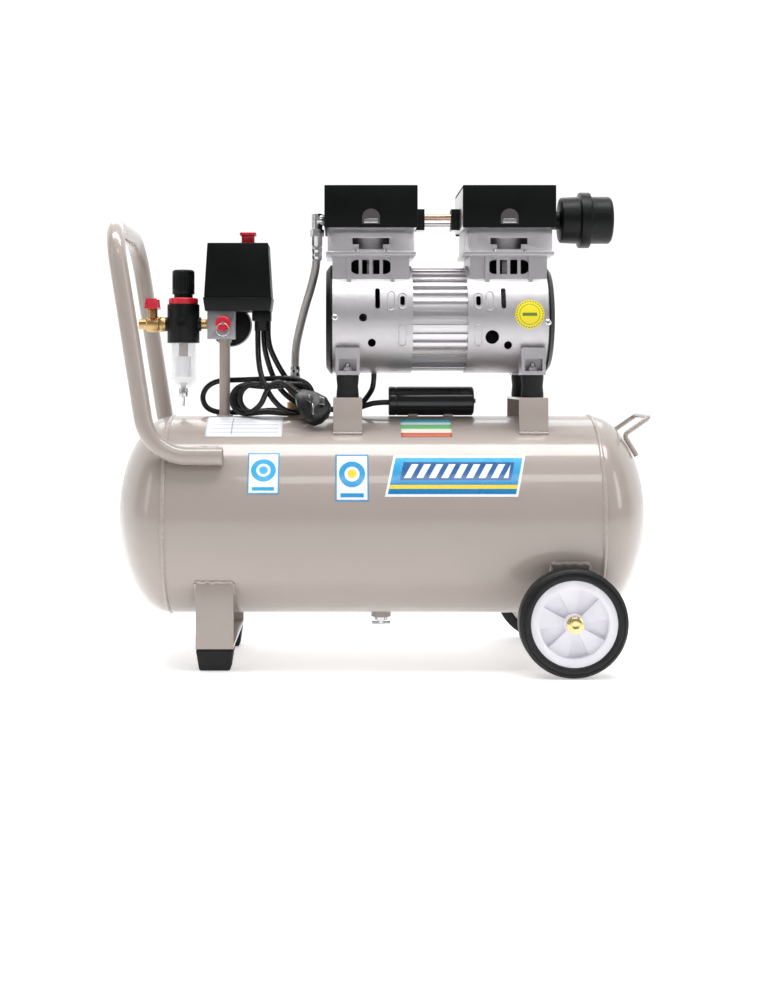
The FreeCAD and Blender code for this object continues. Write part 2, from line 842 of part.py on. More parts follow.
sheet_gap = 2
lever_plate = block("lever_plate",
                    (lever_station - s.lever_width / 2, -s.lever_reach, lever_floor + s.side_gap),
                    (lever_station + s.lever_width / 2, s.lever_reach,
                     lever_floor + s.side_gap + sheet_gap))
wings = []
for side in (-1, 1):
    foot = (lever_station, side * (s.lever_reach - sheet_gap / 2), lever_floor + s.side_gap)
    wings.append(wedge(f"wing_{side + 2}", foot, s.lever_width, sheet_gap, s.lever_height,
                       s.lever_width - 3, sheet_gap))
lever_stem = rod("lever_stem", (lever_station, 0, s.port_height + 4), "+Z",
                 lever_floor - s.port_height - 4 + s.side_gap + sheet_gap + 4, stem_radius)
lever_nut = hexagon("lever_nut", (lever_station, 0, lever_floor + s.side_gap + sheet_gap), "+Z", 3.5, 9)
node("ball_valve_lever", fused("ball_valve_lever", [lever_plate] + wings + [lever_stem, lever_nut]))

# ---------------------------------------------------------------- safety valve

safety_start = (s.riser_station, -half, s.port_height)
cap_start = 7
cap_end = 16
stem_end = 21
eye_reach = 19
safety_points = [
    (-stub, 2 + s.running_gap),
    (cap_end, 2 + s.running_gap),
    (cap_end, s.safety_radius - 1.5),
    (cap_end - 1.5, s.safety_radius),
    (cap_start, s.safety_radius),
    (cap_start, 8),
    (0, 8),
    (0, s.port_radius),
    (-stub, s.port_radius),
]
node("safety_valve_body", turned("safety_valve_body", safety_start, "-Y", safety_points))
stem_points = [
    (-stub + 1, 0),
    (-stub + 1, 2),
    (stem_end, 2),
    (stem_end, 0),
]
safety_stem = turned("safety_stem", safety_start, "-Y", stem_points)
eye_height = s.port_height
eye = rod("eye", (s.riser_station - 3, -half - eye_reach, eye_height), "+X", 6, s.wire_radius * 2)
node("safety_valve_stem", cut("safety_valve_stem", safety_stem, [eye]))
ring = doc.addObject("Part::Torus", "safety_valve_ring")
bind(ring, "Radius1", s.ring_radius)
bind(ring, "Radius2", s.wire_radius)
place(ring, (s.riser_station, -half - eye_reach, eye_height - s.ring_radius), ALONG["+Y"])
node("safety_valve_ring", ring)

# ---------------------------------------------------------------- gauge

standoff = s.switch_width / 2 - half + 2.5
back = standoff + s.gauge_depth
dial_depth = back - 4
case_points = [
    (-stub, 1.5),
    (dial_depth, 1.5),
    (dial_depth, s.gauge_radius - 2),
    (back, s.gauge_radius - 2),
    (back, s.gauge_radius + 0.8),
    (back - 6, s.gauge_radius + 0.8),
    (back - 6, s.gauge_radius),
    (standoff + 2, s.gauge_radius),
    (standoff, s.gauge_radius - 2),
    (standoff, 6.5),
    (0, 6.5),
    (0, s.port_radius),
    (-stub, s.port_radius),
]
gauge_start = (gauge_station, half, s.port_height)
node("gauge_case", turned("gauge_case", gauge_start, "+Y", case_points))
needle_gap = 0.5
needle_hub = rod("needle_hub", (gauge_station, half + dial_depth - 3, s.port_height), "+Y",
                 4.6, 1.5 - s.running_gap)
needle_cap = rod("needle_cap", (gauge_station, half + dial_depth + needle_gap, s.port_height), "+Y",
                 1.2, 2.8)
needle_blade = block("needle_blade",
                     (gauge_station - 0.7, half + dial_depth + needle_gap, s.port_height - 6),
                     (gauge_station + 0.7, half + dial_depth + needle_gap + 0.8,
                      s.port_height + s.gauge_radius - 8))
needle = fused("gauge_needle", [needle_hub, needle_cap, needle_blade])
node("gauge_needle", needle)

# ---------------------------------------------------------------- pressure switch

base_floor = manifold_top
cover_floor = base_floor + s.switch_base_height
cover_roof = cover_floor + s.cover_height
base_block = wedge("base_block", (s.switch_station, 0, base_floor), s.switch_length - 5,
                   s.switch_width - 5,
                   s.switch_base_height, s.switch_length, s.switch_width)
base_bore = rod("base_bore", (s.riser_station, 0, base_floor), "+Z", s.switch_base_height,
                s.port_radius + 1)
node("switch_base", cut("switch_base", base_block, [base_bore]))

cover_length = s.switch_length - 2.4
cover_width = s.switch_width - 2.4
shell = wedge("cover_outer", (s.switch_station, 0, cover_floor), cover_length, cover_width,
              s.cover_height,
              cover_length - s.cover_taper * 2, cover_width - s.cover_taper * 2)
hollow = wedge("cover_inner", (s.switch_station, 0, cover_floor), cover_length - s.cover_wall * 2,
               cover_width - s.cover_wall * 2, s.cover_height - s.cover_wall,
               cover_length - s.cover_taper * 2 - s.cover_wall * 2,
               cover_width - s.cover_taper * 2 - s.cover_wall * 2)
stem_half = s.button_width / 2
slot_half = stem_half + 0.4
button_slot = block("button_slot", (s.button_station - slot_half, -slot_half, cover_roof - s.cover_wall),
                    (s.button_station + slot_half, slot_half, cover_roof))
node("switch_cover", cut("switch_cover", shell, [hollow, button_slot]))

flange_half = stem_half + 2.3
button_roof = cover_roof + s.button_height
button_stem = block("button_stem",
                    (s.button_station - stem_half, -stem_half, cover_roof - s.button_travel - 14),
                    (s.button_station + stem_half, stem_half, button_roof))
button_flange = block("button_flange", (s.button_station - flange_half, -flange_half, button_roof - 4),
                      (s.button_station + flange_half, flange_half, button_roof))
node("switch_knob", fused("switch_knob", [button_stem, button_flange]))

gland_block_floor = base_floor - 12
gland_floor = gland_block_floor - 12.5
gland_box = block("gland_box", (s.gland_station - 13, -13, gland_block_floor),
                  (s.gland_station + 11, 13, base_floor))
gland_collar = rod("gland_collar", (s.gland_station, 0, gland_floor), "+Z", base_floor - gland_floor,
                   s.gland_radius)
node("cable_gland", fused("cable_gland", [gland_box, gland_collar]))

# ---------------------------------------------------------------- pump


def pump_x(offset):
    return s.pump_station + offset


stator_ring = [
    (-s.stator_half_length, s.rotor_radius + s.air_gap),
    (s.stator_half_length, s.rotor_radius + s.air_gap),
    (s.stator_half_length, s.stator_radius),
    (-s.stator_half_length, s.stator_radius),
]
stator = turned("stator", (s.pump_station, 0, s.pump_height), "+X", stator_ring)
grooves = []
for index in range(int(float(s.fin_count))):
    groove = doc.addObject("Part::Box", f"fin_gap_{index}")
    bind(groove, "Length", s.stator_half_length * 2)
    bind(groove, "Width", s.fin_depth * 2)
    bind(groove, "Height", s.fin_gap_width)
    angle = (index + 0.5) * 360 / float(s.fin_count)
    turn = FreeCAD.Rotation(Vector(1, 0, 0), angle)
    away = s.stator_radius - s.fin_depth
    cosine = math.cos(math.radians(angle))
    sine = math.sin(math.radians(angle))
    # The groove's corner: away along the radius, half its width back along the rim.
    place(groove, (s.pump_station - s.stator_half_length,
                   away * cosine + s.fin_gap_width / 2 * sine,
                   s.pump_height + away * sine - s.fin_gap_width / 2 * cosine), turn)
    grooves.append(groove)
node("stator_housing", cut("stator_housing", stator, grooves))


def slot_tool(name, centre_x, centre_z, width, height, y_from, y_to):
    # An upright slot with round ends, cut along Y.
    low = centre_z - height / 2 + width / 2
    high = centre_z + height / 2 - width / 2
    middle = block(name + "_middle", (centre_x - width / 2, y_from, low),
                   (centre_x + width / 2, y_to, high))
    ends = [rod(f"{name}_end_{place_index}", (centre_x, y_from, end), "+Y", y_to - y_from, width / 2)
            for place_index, end in enumerate((low, high))]
    return [middle] + ends


def mirrored(side, start, end):
    # Two stations measured outwards from the pump's middle, in rising order of X.
    if side < 0:
        return s.pump_station - end, s.pump_station - start
    return s.pump_station + start, s.pump_station + end


case_start = s.stator_half_length
case_end = s.stator_half_length + s.crankcase_length
end_wall = 8
neck_half = s.neck_block_width / 2
skin = s.crankcase_wall
out = {-1: "-X", 1: "+X"}
side_name = {-1: "left", 1: "right"}
shared_slots = [(78, 24, 6, 26), (47, 21, 6, 12)]
slot_reach = 44
holes = {-1: [(96, 0, 5), (85, -31, 5)], 1: [(64, -24, 8.5), (84, -34, 5)]}
for side in (-1, 1):
    word = side_name[side]
    case = rod(f"case_{word}", (pump_x(side * case_start), 0, s.pump_height), out[side],
               s.crankcase_length, s.crankcase_radius)
    low, high = mirrored(side, s.cylinder_offset - neck_half, s.cylinder_offset + neck_half)
    neck = block(f"neck_{word}", (low, -neck_half, s.pump_height), (high, neck_half, s.neck_top))
    bosses = []
    pockets = []
    for edge in (-1, 1):
        boss_low, boss_high = mirrored(side, s.mount_station - 15, s.mount_station + 15)
        boss_inner = s.mount_offset - 16
        boss_outer = s.mount_offset + 14
        boss_floor = s.bracket_top + s.mount_height
        y_low, y_high = (boss_inner, boss_outer) if edge > 0 else (-boss_outer, -boss_inner)
        bosses.append(block(f"boss_{word}_{edge + 2}", (boss_low, y_low, boss_floor),
                            (boss_high, y_high, boss_floor + 34)))
        recess = s.crankcase_wall
        y_low, y_high = (s.mount_offset - 6, boss_outer) if edge > 0 else (-boss_outer,
                                                                           6 - s.mount_offset)
        pockets.append(block(f"pocket_{word}_{edge + 2}", (boss_low + recess, y_low, boss_floor + 5),
                             (boss_high - recess, y_high, boss_floor + 20)))
    posts = []
    for edge in (-1, 1):
        for post in (-27, 27):
            low, high = mirrored(side, s.cylinder_offset + post - 2.5, s.cylinder_offset + post + 2.5)
            y_low, y_high = (neck_half, neck_half + 4) if edge > 0 else (-neck_half - 4, -neck_half)
            posts.append(block(f"post_{word}_{edge + 2}_{post + 30}", (low, y_low, s.neck_top - 34),
                               (high, y_high, s.neck_top)))
    solid = fused(f"case_solid_{word}", [case, neck] + bosses + posts)
    inside = rod(f"case_inside_{word}", (pump_x(side * (case_start + end_wall)), 0, s.pump_height),
                 out[side],
                 s.crankcase_length - end_wall, s.crankcase_radius - skin)
    low, high = mirrored(side, s.cylinder_offset - neck_half + skin, s.cylinder_offset + neck_half - skin)
    neck_inside = block(f"neck_inside_{word}", (low, -neck_half + skin, s.pump_height),
                        (high, neck_half - skin, s.neck_top))
    bearing = rod(f"bearing_{word}", (pump_x(side * case_start), 0, s.pump_height), out[side],
                  end_wall, s.shaft_radius + s.running_gap)
    tools = [inside, neck_inside, bearing] + pockets
    window_z = s.neck_top - 14
    window_half = 26
    low, high = mirrored(side, s.cylinder_offset - window_half + 9, s.cylinder_offset + window_half - 9)
    panes = [block(f"pane_{word}", (low, -neck_half, window_z - 9), (high, neck_half, window_z + 9))]
    for end in (window_half - 9, 9 - window_half):
        panes.append(rod(f"pane_end_{word}_{end + 20}",
                         (pump_x(side * (s.cylinder_offset + end)), -neck_half, window_z),
                         "+Y", neck_half * 2, 9))
    bars = []
    for bar in (-13, 0, 13):
        low, high = mirrored(side, s.cylinder_offset + bar - 2, s.cylinder_offset + bar + 2)
        bars.append(block(f"bar_{word}_{bar + 20}", (low, -neck_half, window_z - 9),
                          (high, neck_half, window_z + 9)))
    tools.append(cut(f"panes_{word}", fused(f"pane_solid_{word}", panes), bars))
    for edge, y_low, y_high in ((0, -s.crankcase_radius, -slot_reach),
                                (1, slot_reach, s.crankcase_radius)):
        for index, (offset, rise, width, height) in enumerate(shared_slots):
            tools += slot_tool(f"slot_{word}_{edge}_{index}", pump_x(side * (offset)),
                               s.pump_height + rise, width, height, y_low, y_high)
        for index, (offset, rise, radius) in enumerate(holes[side]):
            tools.append(rod(f"hole_{word}_{edge}_{index}", (pump_x(side * (offset)),
                             y_low, s.pump_height + rise), "+Y", y_high - y_low, radius))
    node(f"crankcase_{word}", cut(f"crankcase_{word}", solid, tools))

for side in (-1, 1):
    word = side_name[side]
    middle = s.pump_station + side * s.cylinder_offset
    plate = 4
    low = middle - s.cylinder_length / 2
    high = middle + s.cylinder_length / 2
    deep = s.cylinder_width / 2
    roof = s.neck_top + s.cylinder_height
    jacket = block(f"jacket_{word}", (low, -deep, s.neck_top), (high, deep, roof))
    flange = block(f"flange_{word}", (low - 2, -deep - 2, s.neck_top),
                   (high + 2, deep + 2, s.neck_top + plate + 1))
    hollow = block(f"jacket_space_{word}", (low + plate, plate - deep, s.neck_top + plate),
                   (high - plate, deep - plate, roof - plate))
    window = block(f"jacket_window_{word}", (middle - 23, -deep - 2, roof - 22),
                   (middle + 23, deep + 2, roof - 14))
    step = block(f"jacket_step_{word}", (middle - 15, -deep - 2, roof - 28),
                 (middle + 15, deep + 2, roof - 14))
    box = cut(f"jacket_box_{word}", fused(f"jacket_solid_{word}", [jacket, flange]),
              [hollow, window, step])
    liner = rod(f"liner_{word}", (middle, 0, s.neck_top), "+Z", s.cylinder_height,
                s.cylinder_bore + plate)
    bore = rod(f"cylinder_bore_{word}", (middle, 0, s.neck_top), "+Z", s.cylinder_height, s.cylinder_bore)
    node(f"cylinder_{word}", cut(f"cylinder_{word}", fused(f"lined_{word}", [box, liner]), [bore]))

head_floor = s.neck_top + s.cylinder_height
port_blocks = []
port_length = 11
heads = []
for side in (-1, 1):
    word = side_name[side]
    middle = s.pump_station + side * s.cylinder_offset
    reach = s.cover_length / 2 - s.head_cover_wall - 1
    deep = s.cover_breadth / 2 - s.head_cover_wall - 1
    low, high = mirrored(side, s.cylinder_offset - s.cover_length / 2, s.cylinder_offset + reach)
    heads.append(block(f"head_{word}", (low, -deep, head_floor),
                       (high, deep, s.cover_top - s.head_cover_wall - 1)))
    half_length = s.cover_length / 2
    half_width = s.cover_breadth / 2
    cap = block(f"cap_{word}", (middle - half_length, -half_width, s.cover_floor),
                (middle + half_length, half_width, s.cover_top))
    low, high = mirrored(side, s.cylinder_offset - half_length,
                         s.cylinder_offset + half_length - s.head_cover_wall)
    space = block(f"cap_space_{word}", (low, s.head_cover_wall - half_width, s.cover_floor),
                  (high, half_width - s.head_cover_wall, s.cover_top - s.head_cover_wall))
    node(f"head_cover_{word}", cut(f"head_cover_{word}", cap, [space]))
    low, high = mirrored(side, s.cylinder_offset - half_length - port_length,
                         s.cylinder_offset - half_length)
    port_blocks.append(block(f"port_block_{word}", (low, -14, s.port_line_height - 14),
                             (high, 14, s.port_line_height + 13)))
node("cylinder_heads", grouped("cylinder_heads", heads))

tube_half = s.cylinder_offset - s.cover_length / 2 - port_length
crossover = []
for offset, rise in ((-7, 3), (7, -4)):
    crossover.append(rod(f"crossover_{offset + 8}",
                         (s.pump_station - tube_half, offset, s.port_line_height + rise),
                         "+X", tube_half * 2, 4))
node("crossover_tubes", fused("crossover_tubes", crossover + port_blocks))

fan_start = 112
fan_hub_length = 16
pin_half_width = 7
rotor_length = s.stator_half_length - 4
parts = [
    rod("rotor_core", (s.pump_station - rotor_length, 0, s.pump_height), "+X", rotor_length * 2,
        s.rotor_radius),
    rod("shaft", (s.pump_station - fan_start, 0, s.pump_height), "+X", fan_start * 2, s.shaft_radius),
    rod("shaft_ends", (s.pump_station - fan_start - fan_hub_length, 0, s.pump_height), "+X",
        (fan_start + fan_hub_length) * 2, 6),
]
for side in (-1, 1):
    word = side_name[side]
    pin_start = s.pump_station + side * s.cylinder_offset - pin_half_width
    parts.append(rod(f"crank_pin_{word}", (pin_start, 0, s.pump_height - side * s.crank_throw), "+X",
                     pin_half_width * 2, s.crank_pin_radius))
    big_end = s.crank_pin_radius + 6
    rod_half = 5
    pin_centre = s.pump_height - side * s.crank_throw
    middle = s.pump_station + side * s.cylinder_offset
    eye_blank = rod(f"big_end_{word}", (middle - rod_half, 0, pin_centre), "+X", rod_half * 2, big_end)
    shank = block(f"shank_{word}", (middle - rod_half + 1, -9, pin_centre),
                  (middle + rod_half - 1, 9, pin_centre + s.rod_length))
    crown = rod(f"piston_crown_{word}", (middle, 0, pin_centre + s.rod_length - 5), "+Z", 6,
                s.piston_radius)
    pin_hole = rod(f"pin_hole_{word}", (middle - rod_half, 0, pin_centre), "+X", rod_half * 2,
                   s.crank_pin_radius + s.running_gap)
    node(f"piston_{word}",
         cut(f"piston_{word}", fused(f"rod_solid_{word}", [eye_blank, shank, crown]), [pin_hole]))
node("rotor", fused("rotor", parts))

fans = []
blade_count = 7
for side in (-1, 1):
    word = side_name[side]
    hub_face = s.pump_station + side * fan_start
    hub = rod(f"fan_hub_{word}", (hub_face, 0, s.pump_height), out[side], fan_hub_length, 16)
    blades = [hub]
    for index in range(blade_count):
        blade = doc.addObject("Part::Box", f"blade_{word}_{index}")
        bind(blade, "Length", 14)
        bind(blade, "Width", 2)
        bind(blade, "Height", s.fan_radius - 14)
        angle = index * 360 / blade_count
        spin = FreeCAD.Rotation(Vector(1, 0, 0), angle)
        pitch = FreeCAD.Rotation(Vector(0, 0, 1), 35)
        start = spin.multVec(Vector(0, 0, 14))
        low, high = mirrored(side, fan_start + 2, fan_start + 14)
        corner = spin.multVec(pitch.multVec(Vector(-7, -1, 0)))
        place(blade,
              ((low + high) / 2 + corner.x, start.y + corner.y, s.pump_height + start.z + corner.z),
              spin.multiply(pitch))
        blades.append(blade)
    fan_bore = rod(f"fan_bore_{word}", (hub_face, 0, s.pump_height), out[side], fan_hub_length, 6)
    fans.append(cut(f"fan_{word}", fused(f"fan_solid_{word}", blades), [fan_bore]))
node("cooling_fans", grouped("cooling_fans", fans))

guards = []
guard_skin = 2.5
slot_count = 20
for side in (-1, 1):
    word = side_name[side]
    guard_points = [
        (0, s.crankcase_radius - 5),
        (0, s.crankcase_radius + 0.8),
        (2.5, s.crankcase_radius + 0.8),
        (s.guard_depth, s.crankcase_radius - 7),
        (s.guard_depth, 0),
        (s.guard_depth - guard_skin, 0),
        (s.guard_depth - guard_skin, s.crankcase_radius - 9),
    ]
    dish = turned(f"dish_{word}", (pump_x(side * case_end), 0, s.pump_height), out[side], guard_points)
    slots = []
    for index in range(slot_count):
        slot = doc.addObject("Part::Box", f"vent_{word}_{index}")
        bind(slot, "Length", s.guard_depth + 4)
        bind(slot, "Width", 4)
        bind(slot, "Height", 32)
        spin = FreeCAD.Rotation(Vector(1, 0, 0), index * 360 / slot_count)
        start = spin.multVec(Vector(0, -2, 22))
        low, high = mirrored(side, case_end - 2, case_end + s.guard_depth + 2)
        place(slot, (low, start.y, s.pump_height + start.z), spin)
        slots.append(slot)
    guards.append(cut(f"guard_{word}", dish, slots))
node("fan_guards", grouped("fan_guards", guards))

mounts = []
brackets = []
for side in (-1, 1):
    station = s.pump_station + side * s.mount_station
    for edge in (-1, 1):
        waist = s.mount_radius - 1
        mount_points = [
            (0, 0),
            (0, s.mount_radius),
            (4, s.mount_radius),
            (s.mount_height / 2, waist),
            (s.mount_height - 4, s.mount_radius),
            (s.mount_height, s.mount_radius),
            (s.mount_height, 0),
        ]
        mounts.append(turned(f"mount_{side + 2}_{edge + 2}",
                             (station, edge * s.mount_offset, s.bracket_top), "+Z",
                             mount_points))
    low = s.tank_height + s.tank_radius / 2
    bracket_points = [
        (-s.bracket_reach, low),
        (s.strap_thickness - s.bracket_reach, low),
        (s.strap_thickness - s.bracket_reach, s.bracket_top - s.strap_thickness),
        (s.bracket_reach - s.strap_thickness, s.bracket_top - s.strap_thickness),
        (s.bracket_reach - s.strap_thickness, low),
        (s.bracket_reach, low),
        (s.bracket_reach, s.bracket_top),
        (-s.bracket_reach, s.bracket_top),
    ]
    brackets.append(extruded(f"bracket_{side + 2}", (station - s.bracket_width / 2, 0, 0), ACROSS,
                             s.bracket_width,
                             bracket_points))
node("rubber_mounts", grouped("rubber_mounts", mounts))
can_height = tank_top + s.capacitor_gap + s.capacitor_radius
for index in range(2):
    start = s.capacitor_start + 25 + index * 45
    brackets.append(block(f"saddle_{index}", (start, -9, tank_top - 10), (start + 12, 9, can_height)))
bracket_cut = [tank_solid("bracket_tank")]
bracket_cut.append(rod("saddle_bed", (s.capacitor_start, 0, can_height), "+X", s.capacitor_length,
                       s.capacitor_radius))
node("pump_brackets", cut("pump_brackets", grouped("bracket_strips", brackets), bracket_cut))

can_points = [
    (0, 0),
    (0, s.capacitor_radius - 1),
    (1, s.capacitor_radius),
    (9, s.capacitor_radius),
    (9.6, s.capacitor_radius - 0.6),
    (10.4, s.capacitor_radius - 0.6),
    (11, s.capacitor_radius),
    (s.capacitor_length - 2, s.capacitor_radius),
    (s.capacitor_length, s.capacitor_radius - 2),
    (s.capacitor_length, 3),
    (s.capacitor_length + 3, 3),
    (s.capacitor_length + 3, 0),
]
node("capacitor", turned("capacitor", (s.capacitor_start, 0, can_height), "+X", can_points))

filter_points = [
    (0, 0),
    (0, 12),
    (12, 12),
    (12, s.filter_radius - 3),
    (14, s.filter_radius - 1),
    (36, s.filter_radius),
    (37, s.filter_radius + 5.5),
    (50, s.filter_radius + 5.5),
    (51, s.filter_radius),
    (s.filter_length + 9, s.filter_radius),
    (s.filter_length + 12, s.filter_radius - 3),
    (s.filter_length + 12, 0),
]
filter_start = (s.pump_station + s.cylinder_offset + s.cover_length / 2, 0, s.port_line_height)
node("air_filter", turned("air_filter", filter_start, "+X", filter_points))

# ---------------------------------------------------------------- delivery line

elbow_start = s.pump_station - s.cylinder_offset - s.cover_length / 2
elbow_station = elbow_start - 10
ferrule_end = s.port_line_height - 33
elbow_parts = [
    rod("elbow_arm", (elbow_start, 0, s.port_line_height), "-X", 10, 7.5),
    rod("elbow_drop", (elbow_station, 0, ferrule_end), "+Z", s.port_line_height - ferrule_end + 8, 7),
    hexagon("elbow_nut", (elbow_station, 0, ferrule_end + 12), "+Z", 9, 16),
]
node("hose_elbow", fused("hose_elbow", elbow_parts))
hose_points = [
    (elbow_station, 0, 525),
    (elbow_station, 0, 503),
    (elbow_station - 7, 5, 474),
    (elbow_station - 16, 13, 446),
    (elbow_station - 23, 21, 419),
    (elbow_station - 28, 28, 396),
    (s.valve_station, s.valve_offset, 374),
    (s.valve_station, s.valve_offset, 353.8),
]
hose_points = stretched(hose_points, 0, 353.8, 525, bung_top + 45, ferrule_end)
node("discharge_hose", feature("discharge_hose", tube("discharge_hose", hose_points, s.hose_radius)))
check_points = [
    (-12, 0),
    (-12, bung_bore),
    (0, bung_bore),
    (0, 10.5),
    (16, 10.5),
    (16, 8),
    (20, 8),
    (20, 9.5),
    (30, 9.5),
    (30, 7),
    (45, 7),
    (45, 0),
]
node("check_valve",
     turned("check_valve", (s.valve_station, s.valve_offset, bung_top), "+Z", check_points))

# ---------------------------------------------------------------- cables

# Points are chosen by hand along each cable, from the gland outwards.
motor_lead = [
    (-150.5, 5, 416.5),
    (-150.5, 5, 400),
    (-146, 8, 379),
    (-139, 11, 358),
    (-128, 13, 339),
    (-111, 14, 325),
    (-88, 15, 318),
    (-64, 17, 315.6),
    (-43, 17, 315.4),
    (-27, 16, 320),
    (-16, 10, 333),
    (-9, 0, 346),
    (-9, 0, 362.4),
]
capacitor_lead = [
    (-144.5, -3, 416.5),
    (-144.5, -3, 401),
    (-136, -1, 380),
    (-124, 2, 359),
    (-110, 5, 341),
    (-95, 6, 326),
    (-76, 6, 318),
    (-54, 6, 314),
    (-36, 4, 315),
    (-20, 1, 321),
    (-6, 0, 325),
    (9.5, 0, 325),
]
lead_floor = tank_top + 37.5
case_floor = s.pump_height - s.crankcase_radius
motor_lead = (stretched(motor_lead[:7], 345, 345, 416.5, lead_floor, gland_floor)
              + stretched(motor_lead[7:], 345, 345, 362.4, lead_floor, case_floor))
capacitor_lead = stretched(capacitor_lead, 345, 345, 416.5, lead_floor, gland_floor)
leads = [tube("motor_lead", motor_lead, s.cord_radius),
         tube("capacitor_lead", capacitor_lead, s.cord_radius)]
node("motor_cables", feature("motor_cables", Part.makeCompound(leads)))

mains_points = [
    (-157.5, -3.5, 416.5),
    (-157.5, -3.5, 400),
    (-156.5, -11, 380),
    (-153, -22, 361),
    (-146, -31, 344),
    (-137, -34, 329),
    (-126, -29, 318),
]
mains_points = stretched(mains_points, 345, 345, 416.5, lead_floor, gland_floor)
plug_drop = 3.0
tail_points = [
    (-130, -26.8, 341 - plug_drop),
    (-128, -33, 344.5 - plug_drop),
    (-120, -36.5, 346.5 - plug_drop),
    (-112.5, -37, 344.6 - plug_drop),
    (-104.3, -41, 337.7 - plug_drop),
]
tail_points = stretched(tail_points, 1000, 0, 1, 0, 1)
mains_runs = [tube("mains_drop", mains_points, s.cord_radius),
              tube("mains_tail", tail_points, s.cord_radius)]
node("mains_cord", feature("mains_cord", Part.makeCompound(mains_runs)))

hank_floor = tank_top + 0.4
hank_rise = [
    (-233, hank_floor + 6),
    (-190, hank_floor),
    (-150, hank_floor + 7),
    (-110, hank_floor),
    (-84, hank_floor + 8),
    (-84, hank_floor + 36),
    (-108, hank_floor + 46),
    (-150, hank_floor + 34),
    (-190, hank_floor + 44),
    (-233, hank_floor + 42),
]
hank_plan = [
    (-233, 10),
    (-190, 10),
    (-180, -12),
    (-150, -26),
    (-84, -26),
    (-84, -5),
    (-150, -4),
    (-172, 8),
    (-184, 24),
    (-233, 24),
]
hank_side = extruded("hank_side", (0, 40, 0), UPRIGHT, 80, hank_rise)
hank_top = extruded("hank_top", (0, 0, hank_floor), FLAT, 60, hank_plan)
node("mains_cord_hank", common("mains_cord_hank", [hank_side, hank_top]))

plug_points = [
    (-24, -6),
    (-10, -15),
    (6, -19),
    (18, -15),
    (22, -6),
    (22, 6),
    (18, 15),
    (6, 19),
    (-10, 15),
    (-24, 6),
]
plug_thickness = 17
pin_width = 6.3
pin_thickness = 1.6
pin_length = 18
plug_lean = FreeCAD.Rotation(Vector(1, 0, 0), 60)
plug_turn = plug_lean.multiply(FreeCAD.Rotation(Vector(0, 0, 1), -44))
plug_centre = Vector(-87, -42, 319 - plug_drop + float(tank_top) - 307.5)
plug_body = extruded("plug_body", plug_centre, plug_turn, plug_thickness, plug_points)
pins = []
for index, (along, across, angle) in enumerate(((9, 8, 30), (9, -8, -30), (-6, 0, 0))):
    pin = doc.addObject("Part::Box", f"pin_{index}")
    bind(pin, "Length", pin_width)
    bind(pin, "Width", pin_thickness)
    bind(pin, "Height", pin_length)
    spin = plug_turn.multiply(FreeCAD.Rotation(Vector(0, 0, 1), angle))
    foot = plug_centre + plug_turn.multVec(Vector(along, across, plug_thickness))
    corner = foot + spin.multVec(Vector(-pin_width / 2, -pin_thickness / 2, 0))
    place(pin, corner, spin)
    pins.append(pin)
node("plug", fused("plug", [plug_body] + pins))

# ---------------------------------------------------------------- check and write

doc.recompute()
faults = []
for item in doc.Objects:
    if "Invalid" in item.State or "Error" in item.State:
        faults.append(f"{item.Name}: {item.State}")
for item in nodes:
    if item.Shape.isNull() or not item.Shape.isValid() or item.Shape.Volume <= 0:
        faults.append(f"{item.Label}: no valid shape")
if faults:
    raise RuntimeError("\n".join(faults))
os.makedirs("parts", exist_ok=True)
for item in nodes:
    item.Shape.exportStep(f"parts/{item.Label}.step")
print(len(nodes), "nodes written")
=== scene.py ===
import json
import math
import random

import bmesh
import bpy
from mathutils import Matrix, Vector

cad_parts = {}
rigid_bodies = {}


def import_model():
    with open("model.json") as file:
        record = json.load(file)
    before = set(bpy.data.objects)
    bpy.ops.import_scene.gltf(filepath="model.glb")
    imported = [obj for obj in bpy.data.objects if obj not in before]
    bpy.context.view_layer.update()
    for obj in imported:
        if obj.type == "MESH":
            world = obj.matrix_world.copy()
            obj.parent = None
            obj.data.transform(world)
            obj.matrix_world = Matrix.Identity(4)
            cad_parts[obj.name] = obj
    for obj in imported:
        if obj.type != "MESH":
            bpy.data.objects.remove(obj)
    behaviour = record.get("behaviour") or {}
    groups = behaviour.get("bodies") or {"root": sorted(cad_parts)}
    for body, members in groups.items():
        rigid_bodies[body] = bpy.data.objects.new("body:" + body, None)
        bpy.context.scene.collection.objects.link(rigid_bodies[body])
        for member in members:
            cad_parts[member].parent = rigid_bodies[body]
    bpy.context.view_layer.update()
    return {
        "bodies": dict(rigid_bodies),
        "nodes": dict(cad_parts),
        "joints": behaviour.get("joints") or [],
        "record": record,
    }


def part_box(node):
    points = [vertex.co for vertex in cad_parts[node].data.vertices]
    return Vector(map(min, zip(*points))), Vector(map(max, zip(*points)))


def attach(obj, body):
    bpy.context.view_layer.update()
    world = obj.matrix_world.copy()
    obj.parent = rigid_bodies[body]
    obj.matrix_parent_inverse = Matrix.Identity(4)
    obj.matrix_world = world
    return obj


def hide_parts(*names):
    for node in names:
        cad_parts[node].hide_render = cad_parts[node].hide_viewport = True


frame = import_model()
mm = 0.001
print("frame loaded:", len(frame["nodes"]), "nodes")


